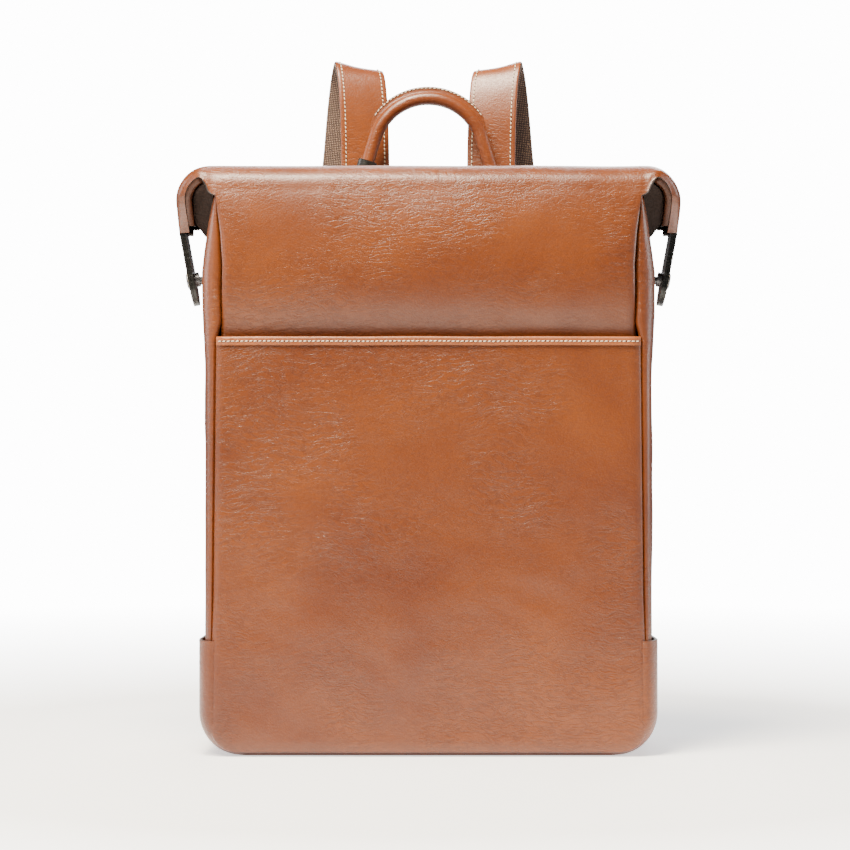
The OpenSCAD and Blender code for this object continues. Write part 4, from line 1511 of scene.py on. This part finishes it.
@dataclass
class Strap:
    """One shoulder strap: leather outside, flecked webbing inside, and the webbing down to its ring."""

    side: float
    wide: float = 36.0
    leather: float = 2.3
    webbing: float = 1.8
    low: tuple[float, float] = (69.0, 82.9)
    low_x: float = 104.0
    lean: float = 12.86
    path: tuple[tuple[float, float, float, float], ...] = (
        (47, 67.0, 292, 0), (47, 67.1, 304, 0), (47, 68.2, 322, 0), (47, 71.4, 341, 0), (47, 74.2, 366, -2),
        (47, 78, 396, -5), (47, 80.5, 430, -8), (48, 83, 463, -10), (50, 89, 486.5, -11), (53, 98, 495, -11),
        (56, 107.5, 486.5, -11), (59, 114, 463, -10), (62, 119, 430, -7), (66, 124, 396, -4),
        (73, 127.5, 362, -2), (83, 126.5, 330, 0), (93, 121.5, 303, 0), (100.5, 115.4, 281, 0),
        (104, 109.9, 262, 0), (104, 104.9, 240, 0))
    return_y: float = 5.6
    return_low: float = 9.0
    return_high: float = 110.8
    ring_turn: tuple[tuple[float, float], ...] = (
        (5.4, 10.8), (4.9, 7.0), (3.6, 2.6), (2.9, 0.2), (2.2, -1.9), (0.4, -2.9), (-1.2, -1.7), (-1.5, 0.4),
        (-0.9, 3.0), (0.1, 6.5), (0.4, 10.8))
    bar_turn: tuple[tuple[float, float], ...] = (
        (3.3, 112), (3.2, 120), (3.0, 128), (3.3, 133), (4.4, 136.6), (5.9, 137.9), (7.5, 136.9),
        (8.3, 134.6), (8.4, 130), (7.6, 122), (7.2, 112))

    @property
    def label(self) -> str:
        """The side's name."""
        return side_name(self.side)

    def weight(self, points: np.ndarray) -> np.ndarray:
        """Share of the swing: none at the sewn top and by the ring, all between."""
        top = ease((points[:, 2] - 322) / 40)
        far = np.maximum(top, ease((points[:, 1] - 76) / 12))
        low = ease((points[:, 2] - 90) / 40)
        return np.where(points[:, 2] > 280, far, low)

    @property
    def motion(self) -> Motion:
        """The strap swings between its sewn ends."""
        return Motion("bag", f"strap_{self.label}", self.weight)

    def line(self) -> np.ndarray:
        """The strap's line from its sewn end on the back, as x, y, z and twist."""
        return smooth_line(self.path, 6)

    def frame(self, line: np.ndarray, row: float) -> tuple[np.ndarray, np.ndarray, np.ndarray]:
        """The point, the direction across and the depth direction at a row of the line."""
        i = min(int(row), len(line) - 2)
        at = line[i] + (line[i + 1] - line[i]) * (row - i)
        lo, hi = line[max(i - 1, 0)], line[min(i + 2, len(line) - 1)]
        ahead = (hi - lo)[:3] / np.linalg.norm((hi - lo)[:3])
        flat = np.array([1.0, 0, 0]) - ahead[0] * ahead
        flat /= np.linalg.norm(flat)
        turn = math.radians(at[3])
        across = flat * math.cos(turn) + np.cross(ahead, flat) * math.sin(turn)
        return at[:3], across, np.cross(ahead, across)

    def band(self, line: np.ndarray, depth: float, crown: float, ripple: float) -> Place:
        """A sheet that follows the strap's line at a depth.

        Args:
            line: The strap's line.
            depth: Distance from the line, in the depth direction.
            crown: How far the middle stands out past the edges.
            ripple: Height of the slow unevenness.
        """

        def place(w: float, row: float) -> tuple[float, float, float]:
            """A point for a distance across the strap and a row of its line."""
            at, across, deep = self.frame(line, row)
            soft = ripple * waver(w, row * 2.2, self.side, 15, 3.3)
            out = depth + crown * (1 - (2 * w / self.wide) ** 2) + soft
            point = at + across * w + deep * out
            return self.side * point[0], point[1], point[2]

        return place

    def build(self, stitching: Stitching) -> None:
        """Makes the strap's leather, lining, lower webbing and stitches."""
        line = self.line()
        last = len(line) - 1
        half = self.wide / 2
        edge = [-half, -half + 0.25, -half + 0.8, -half + 1.8]
        columns = edge + list(np.linspace(-half + 3.2, half - 3.2, 12)) + [-c for c in reversed(edge)]
        rows = list(np.arange(2, last + 0.01, 1.0))

        def face(w: float, row: float) -> tuple[float, float, float]:
            """A point of the outer face, rounded over at both edges."""
            near = min(max((abs(w) - half + 1.1) / 1.1, 0), 1)
            return self.band(line, -self.leather + 0.9 * rounding(near), -0.35, 0.3)(w, row)

        surface = Surface(face, columns, rows, (0, -1, 0), judge=15)
        piece = hide(surface.sheet(f"strap_hide_{self.label}"), self.leather - 0.25, Finish.STRAP, 55)
        bases = ["strap_bases"] if self.side < 0 else []
        self.motion.take(piece, "tan_leather", [f"strap_leather_{self.label}"] + bases)
        for name, w in (("inner", -half + 3.6), ("outer", half - 3.6)):
            steps = [(w, row) for row in np.arange(8, last - 1, 0.5)]
            stitching.sew(f"strap_stitches_{name}_{self.label}", surface.seam(steps), self.motion, lift=0.15)
        self.line_with_webbing(line, rows)
        self.tape("lower_webbing", [(0.4, 6.0), (0.4, 160.5)], 1.8, self.motion,
                  [f"lower_strap_{self.label}"])
        self.loops()
        ends = [(self.return_y, self.return_low), (self.return_y, self.return_high)]
        returned = self.tape("return_webbing", ends, 1.8, Motion(f"strap_{self.label}"),
                             [f"return_strap_{self.label}"])
        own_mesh(returned)

    def line_with_webbing(self, line: np.ndarray, rows: Sequence[float]) -> None:
        """Makes the webbing that lines the leather, its weave laid out along the real length."""
        lining = self.band(line, self.webbing, 0.15, 0.15)
        run = np.concatenate([[0], np.cumsum(np.linalg.norm(np.diff(line[:, :3], axis=0), axis=1))])
        half = self.wide / 2
        cloth = Surface(lambda w, s: lining(w, float(np.interp(s, run, range(len(line))))),
                        list(np.linspace(-half + 0.4, half - 0.4, 15)), [float(run[int(r)]) for r in rows],
                        (0, 1, 0), judge=10)
        piece = dress(cloth.sheet(f"strap_webbing_cloth_{self.label}"), Finish.WEBBING)
        Bench.finish(piece, "SOLIDIFY", thickness=(self.webbing - 0.2) * MM, offset=-1)
        Bench.smooth(piece, 50)
        self.motion.take(piece, "webbing", [f"strap_webbing_{self.label}"])

    def point(self, y: float, up: float) -> tuple[float, float, float]:
        """A point in the lower webbing's frame: y is away from the bag, up is along the webbing."""
        lean = math.radians(self.lean)
        return (self.side * self.low_x, self.low[0] + y * math.cos(lean) + up * math.sin(lean),
                self.low[1] - y * math.sin(lean) + up * math.cos(lean))

    def tape(self, name: str, ends: Sequence[tuple[float, float]], thick: float, motion: Motion,
             replaces: Sequence[str], wide: float = 30.0) -> bpy.types.Object:
        """A run of webbing through points in the lower frame.

        Args:
            name: The piece's name, without its side.
            ends: Points of the run as distance from the bag and distance up.
            thick: Thickness in millimetres.
            motion: What it moves with.
            replaces: CAD nodes that it stands for.
            wide: Width in millimetres.

        Returns:
            The webbing.
        """
        points = np.array(ends, float)
        if len(points) == 2:
            points = np.linspace(points[0], points[1], 40)
        run = np.concatenate([[0], np.cumsum(np.linalg.norm(np.diff(points, axis=0), axis=1))])

        def place(w: float, s: float) -> tuple[float, float, float]:
            """A point for a distance across the webbing and a distance along it."""
            y, up = (float(np.interp(s, run, points[:, k])) for k in (0, 1))
            x, deep, z = self.point(y, up)
            return x + w, deep, z

        surface = Surface(place, list(np.linspace(-wide / 2, wide / 2, 13)), list(run), (0, 1, 0))
        piece = dress(surface.sheet(f"{name}_{self.label}"), Finish.WEBBING)
        Bench.finish(piece, "SOLIDIFY", thickness=thick * MM, offset=0, use_quality_normals=True)
        Bench.smooth(piece, 50)
        return motion.take(piece, "webbing", replaces)

    def loops(self) -> None:
        """The webbing's turns round the ring and round the adjuster's middle bar."""
        self.tape("ring_turn", smooth_line(self.ring_turn, 4), 1.6, Motion("bag"),
                  ["ring_loops"] if self.side < 0 else [])
        self.tape("adjuster_turn", smooth_line(self.bar_turn, 4), 1.5, Motion(f"adjuster_{self.label}"),
                  [f"strap_end_{self.label}"])


# ---------------------------------------------------------------- inside


@dataclass
class Interior:
    """The cotton lining, the laptop divider and the slip pocket."""

    half: float = 143.6
    front: float = -50.6
    back: float = 51.4
    low: float = 8.6
    high: float = 374.0

    def ring(self, z: float, inset: float) -> list[tuple[float, float, float]]:
        """The lining's outline at a height."""
        points = []
        w, r = self.half - inset, 9.0
        low, high = self.front + inset, self.back - inset
        for cx, cy, a0 in ((w - r, high - r, 0), (-w + r, high - r, 90), (-w + r, low + r, 180),
                           (w - r, low + r, 270)):
            for a in np.radians(np.linspace(a0, a0 + 90, 7)):
                points.append((cx + r * math.cos(a), cy + r * math.sin(a)))
        dense = []
        for i, (x, y) in enumerate(points):
            x2, y2 = points[(i + 1) % len(points)]
            steps = max(1, round(math.hypot(x2 - x, y2 - y) / 12))
            for k in range(steps):
                t = k / steps
                dense.append((x + (x2 - x) * t, y + (y2 - y) * t))
        ripple = 0.7 * ease((z - 20) / 60)
        return [(x + ripple * waver(x, y, z, 38, 1.2), y + ripple * waver(x, y, z, 31, 6.1), z)
                for x, y in dense]

    def build(self) -> None:
        """Makes the inside pieces."""
        foot = [(self.low, 12), (self.low, 6), (self.low + 0.8, 2.5), (self.low + 3, 0.7), (self.low + 8, 0)]
        wall = [(z, 0.0) for z in np.linspace(28, self.high, 30)]
        sections = [self.ring(z, inset) for z, inset in foot + wall]
        bag = Bench.loft("lining_bag", sections, caps=False)
        floor = Bench.sheet("lining_floor", np.linspace(-self.half + 8, self.half - 8, 20),
                            np.linspace(self.front + 8, self.back - 8, 9),
                            lambda x, y: (x, y, self.low + 0.25 + 0.15 * waver(x, y, 0, 30)), (0, 0, 1))
        for piece in (bag, floor):
            dress(piece, Finish.LINING)
            Bench.finish(piece, "SOLIDIFY", thickness=0.5 * MM, offset=0)
            Bench.smooth(piece, 60)
        lining = Bench.join("lining_cloth_bag", [bag, floor])
        Motion("bag").take(lining, "lining_cloth", ["lining"])
        self.panel("laptop_divider_cloth", 284, 290, 156, 22, 4.6, ["laptop_divider"])
        self.panel("slip_pocket_cloth", 210, 130, 225, -49.6, 1.0, ["inner_pocket"])

    def panel(self, name: str, wide: float, high: float, z: float, y: float, thick: float,
              replaces: Sequence[str]) -> None:
        """A cloth panel with a leather-bound top edge.

        Args:
            name: The panel's name.
            wide: Width in millimetres.
            high: Height in millimetres.
            z: Height of its middle.
            y: Depth of its middle.
            thick: Thickness in millimetres.
            replaces: CAD nodes that it stands for.
        """

        def place(u: float, v: float) -> tuple[float, float, float]:
            """A point for shares of the half width and the half height."""
            loose = 0.45 * (1 - u ** 8) * (1 - v ** 8) * waver(u * 90, v * 90, y, 26, 2.4)
            return u * (wide / 2 - 0.4), y - thick / 2 + loose, z + v * (high / 2 - 0.5)

        cloth = Bench.sheet(name, np.linspace(-1, 1, 60), np.linspace(-1, 1, 50), place, (0, -1, 0))
        dress(cloth, Finish.LINING)
        Bench.finish(cloth, "SOLIDIFY", thickness=(thick - 0.4) * MM, offset=-1)
        Bench.smooth(cloth, 40)
        Motion("bag").take(cloth, "lining_cloth", replaces)
        top = z + high / 2
        half = thick / 2
        outline = [(-half - 0.5, -7), (-half - 0.7, -3), (-half - 0.4, 0), (0, 0.9), (half + 0.4, 0),
                   (half + 0.7, -3), (half + 0.5, -7)]
        sections = []
        for x in np.linspace(-wide / 2 + 0.5, wide / 2 - 0.5, 40):
            sections.append([(x, y + out, top + up) for out, up in outline])
        binding = Bench.loft(f"{name}_binding", sections)
        dress(binding, Finish.UNDER)
        Bench.smooth(binding, 50)
        Motion("bag").take(binding, "dark_leather")


# ---------------------------------------------------------------- fittings


@dataclass
class Fittings:
    """The nodes that the frame already shapes, given their finishes, and small leather pieces on them."""

    tab_pivot: tuple[float, float] = (174.0, 364.0)
    tab_lean: float = 10.4
    tab_face: float = 1.96
    tab_seam: float = 11.4
    tab_straight: float = 26.0
    tab_start: float = 3.0
    tab_round: float = 37.0
    tag_front: float = 61.68
    tag_back: float = 64.32
    strap_patch: tuple[float, float, float] = (47.0, 70.52, 302.0)
    sleeve_z: float = 407.4
    sleeve: tuple[tuple[float, float, float], ...] = (
        (-137.2, 2.9, 1.1), (-137.6, 3.5, 1.4), (-140, 3.8, 1.5), (-146, 3.9, 1.4), (-149.6, 3.6, 1.3),
        (-151.4, 2.4, 1.1), (-151.9, 1.0, 0.8))

    def coat(self, finish: Finish, *nodes: str) -> None:
        """Gives frame nodes a finish."""
        for name in nodes:
            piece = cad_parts[name]
            if not piece.material_slots:
                piece.data.materials.append(finish.material)
            for slot in piece.material_slots:
                slot.material = finish.material
            LOG.info("finished %s in %s", name, finish.value.name)

    def sew_tab(self, side: float, stitching: Stitching) -> None:
        """Stitches round a tab's outer face."""
        lean = math.radians(self.tab_lean)
        half = self.tab_seam
        ring = [(-half, -self.tab_start - s) for s in np.linspace(0, self.tab_straight, 10)]
        for a in np.linspace(math.pi, math.tau, 22):
            ring.append((half * math.cos(a), -self.tab_round + half * math.sin(a)))
        ring += [(half, -self.tab_start - s) for s in np.linspace(self.tab_straight, 0, 10)]
        out = (self.tab_face * math.cos(lean), self.tab_face * math.sin(lean))
        x0, z0 = self.tab_pivot
        line = [(side * (x0 + out[0] + down * math.sin(lean)), y, z0 - out[1] + down * math.cos(lean))
                for y, down in ring]
        outs = [(side * math.cos(lean), 0, -math.sin(lean))] * len(line)
        label = side_name(side)
        stitching.sew(f"tab_stitches_outer_{label}", (np.array(line), np.array(outs)),
                      Motion(f"tab_{label}"), "dark_leather")

    def build(self, stitching: Stitching) -> None:
        """Finishes every node that stays, and adds the small pieces."""
        self.coat(Finish.NICKEL, "zip_slider", "zip_puller", "snap_studs", "snap_cap_left", "snap_cap_right",
                  "snap_socket_left", "snap_socket_right", "adjuster_left", "adjuster_right", "strap_rings")
        self.coat(Finish.DARK, "tab_left", "tab_right", "tag_strap")
        self.coat(Finish.TAN, "base_panel", "strap_patches", "anchor_tabs", "tag")
        self.coat(Finish.LINING, "base_board", "back_foam")
        for side in (-1.0, 1.0):
            self.sew_tab(side, stitching)
            x, y, z = self.strap_patch
            seam = Patch("strap_patch", (side * x, y, z), 44, 30, 5).seam(2.2)
            stitching.sew(f"strap_patch_stitches_{side_name(side)}", seam, Motion("bag"))
        for name, y, way in (("front", self.tag_front, -1), ("back", self.tag_back, 1)):
            seam = Patch("tag", (-83, y, 377), 30, 62, 11).seam(2.4, way)
            stitching.sew(f"tag_stitches_{name}", seam, Motion("tag"))
        self.cover_puller()

    def cover_puller(self) -> None:
        """Makes the leather sleeve on the zip's puller."""
        sleeve = []
        for x, wide, thick in self.sleeve:
            ring = []
            for a in np.linspace(0, math.tau, 17)[:-1]:
                blunt = 1 if abs(math.cos(a)) < 0.8 else 0.8
                ring.append((x, wide * math.cos(a), self.sleeve_z + thick * math.sin(a) * blunt))
            sleeve.append(ring)
        piece = Bench.loft("puller_sleeve", sleeve)
        dress(piece, Finish.UNDER)
        Bench.smooth(piece, 50)
        Motion("pull").take(piece, "tan_leather")


# ---------------------------------------------------------------- the studio


@dataclass(frozen=True)
class Lamp:
    """A soft square light."""

    name: str
    at: tuple[float, float, float]
    size: float
    power: float
    colour: tuple[float, float, float] = (1.0, 1.0, 1.0)
    aim: tuple[float, float, float] = (0.0, 0.0, 0.24)

    def build(self) -> None:
        """Hangs the light."""
        Bench.clear()
        bpy.ops.object.light_add(type="AREA", location=self.at)
        lamp = bpy.context.object
        lamp.name = self.name
        lamp.data.shape = "SQUARE"
        lamp.data.size = self.size
        lamp.data.energy = self.power
        lamp.data.color = self.colour
        lamp.rotation_euler = (Vector(self.aim) - Vector(self.at)).to_track_quat("-Z", "Y").to_euler()


@dataclass
class Studio:
    """A pale floor, soft lights and the camera."""

    camera_at: tuple[float, float, float] = (-0.0024, -1.860, 0.229)
    focal: float = 110.5
    floor_size: float = 60.0
    floor_glow: float = 0.9
    floor_fade: tuple[float, float] = (0.4, 1.5)
    air_light: float = 0.16
    air_seen: float = 14.0
    lamps: tuple[Lamp, ...] = (
        Lamp("key", (-0.75, -1.15, 1.75), 0.75, 60.0, (1.0, 0.9, 0.72)),
        Lamp("brow", (-0.22, -0.42, 1.4), 0.5, 54.0, (1.0, 0.89, 0.7), (-0.03, 0.0, 0.44)),
        Lamp("fill", (1.6, -1.1, 0.6), 1.2, 4.0, (1.0, 0.95, 0.88)),
        Lamp("side", (-1.7, -1.0, 0.5), 1.0, 9.0, (1.0, 0.95, 0.88)),
        Lamp("back", (0.3, 1.7, 1.4), 1.2, 40.0),
        Lamp("left_rim", (-1.7, 0.4, 0.7), 0.9, 16.0),
        Lamp("right_rim", (1.7, 0.3, 0.6), 0.9, 16.0),
    )

    def build(self) -> None:
        """Sets the studio up."""
        self.lay_floor()
        self.fill_air()
        for lamp in self.lamps:
            lamp.build()
        data = bpy.data.cameras.new("studio_camera")
        data.lens = self.focal
        data.sensor_width = 36
        camera = bpy.data.objects.new("studio_camera", data)
        camera.location = self.camera_at
        camera.rotation_euler = (math.pi / 2, 0, 0)
        bpy.context.scene.collection.objects.link(camera)
        bpy.context.scene.camera = camera

    def lay_floor(self) -> None:
        """Lays a pale floor that fades out away from the bag."""
        Bench.clear()
        bpy.ops.mesh.primitive_plane_add(size=self.floor_size, location=(0, 0, 0))
        floor = Bench.named("studio_floor")
        Bench.edit(floor, lambda: bpy.ops.mesh.subdivide(number_cuts=1))
        nodes = Nodes("studio_paper")
        speck = nodes.noise(nodes.object_coords(), 30, 2)
        nodes.link(nodes.mix(speck, (0.90, 0.90, 0.90, 1), (0.94, 0.94, 0.94, 1)),
                   nodes.shader.inputs["Base Color"])
        nodes.shader.inputs["Roughness"].default_value = 0.9
        nodes.shader.inputs["Specular IOR Level"].default_value = 0.1
        nodes.shader.inputs["Emission Color"].default_value = (1, 1, 1, 1)
        nodes.shader.inputs["Emission Strength"].default_value = self.floor_glow
        reach = nodes.add("ShaderNodeVectorMath", operation="LENGTH")
        nodes.link(nodes.object_coords(), reach.inputs[0])
        nodes.link(nodes.ramp(reach.outputs["Value"], *self.floor_fade, 1, 0), nodes.shader.inputs["Alpha"])
        floor.data.materials.append(nodes.material)

    def fill_air(self) -> None:
        """Sets the pale air: bright where it is seen, dim where it lights the bag."""
        world = bpy.data.worlds.new("studio_air")
        world.use_nodes = True
        sky = world.node_tree.nodes["Background"]
        sky.inputs[0].default_value = (1, 1, 1, 1)
        rays = world.node_tree.nodes.new("ShaderNodeLightPath")
        level = world.node_tree.nodes.new("ShaderNodeMapRange")
        level.inputs[3].default_value, level.inputs[4].default_value = self.air_light, self.air_seen
        world.node_tree.links.new(rays.outputs["Is Camera Ray"], level.inputs[0])
        world.node_tree.links.new(level.outputs[0], sky.inputs[1])
        bpy.context.scene.world = world


def main() -> None:
    """Builds the bag piece by piece."""
    logging.basicConfig(level=logging.INFO, format="%(name)s: %(message)s")
    Studio().build()
    stitching = Stitching()
    front, back = Shell(front=True), Shell(front=False)
    front.build(stitching)
    back.build(stitching)
    Pocket().build(stitching)
    Gussets().build(stitching)
    ears = [Ear(-1.0), Ear(1.0)]
    for ear in ears:
        ear.build(front.profile(), stitching)
    Zip().build(ears)
    Handle().build(stitching)
    for side in (-1.0, 1.0):
        Strap(side).build(stitching)
    Interior().build()
    Fittings().build(stitching)
    Bench.drop(stitching.pattern)
    Bench.clear()


if __name__ == "__main__":
    main()
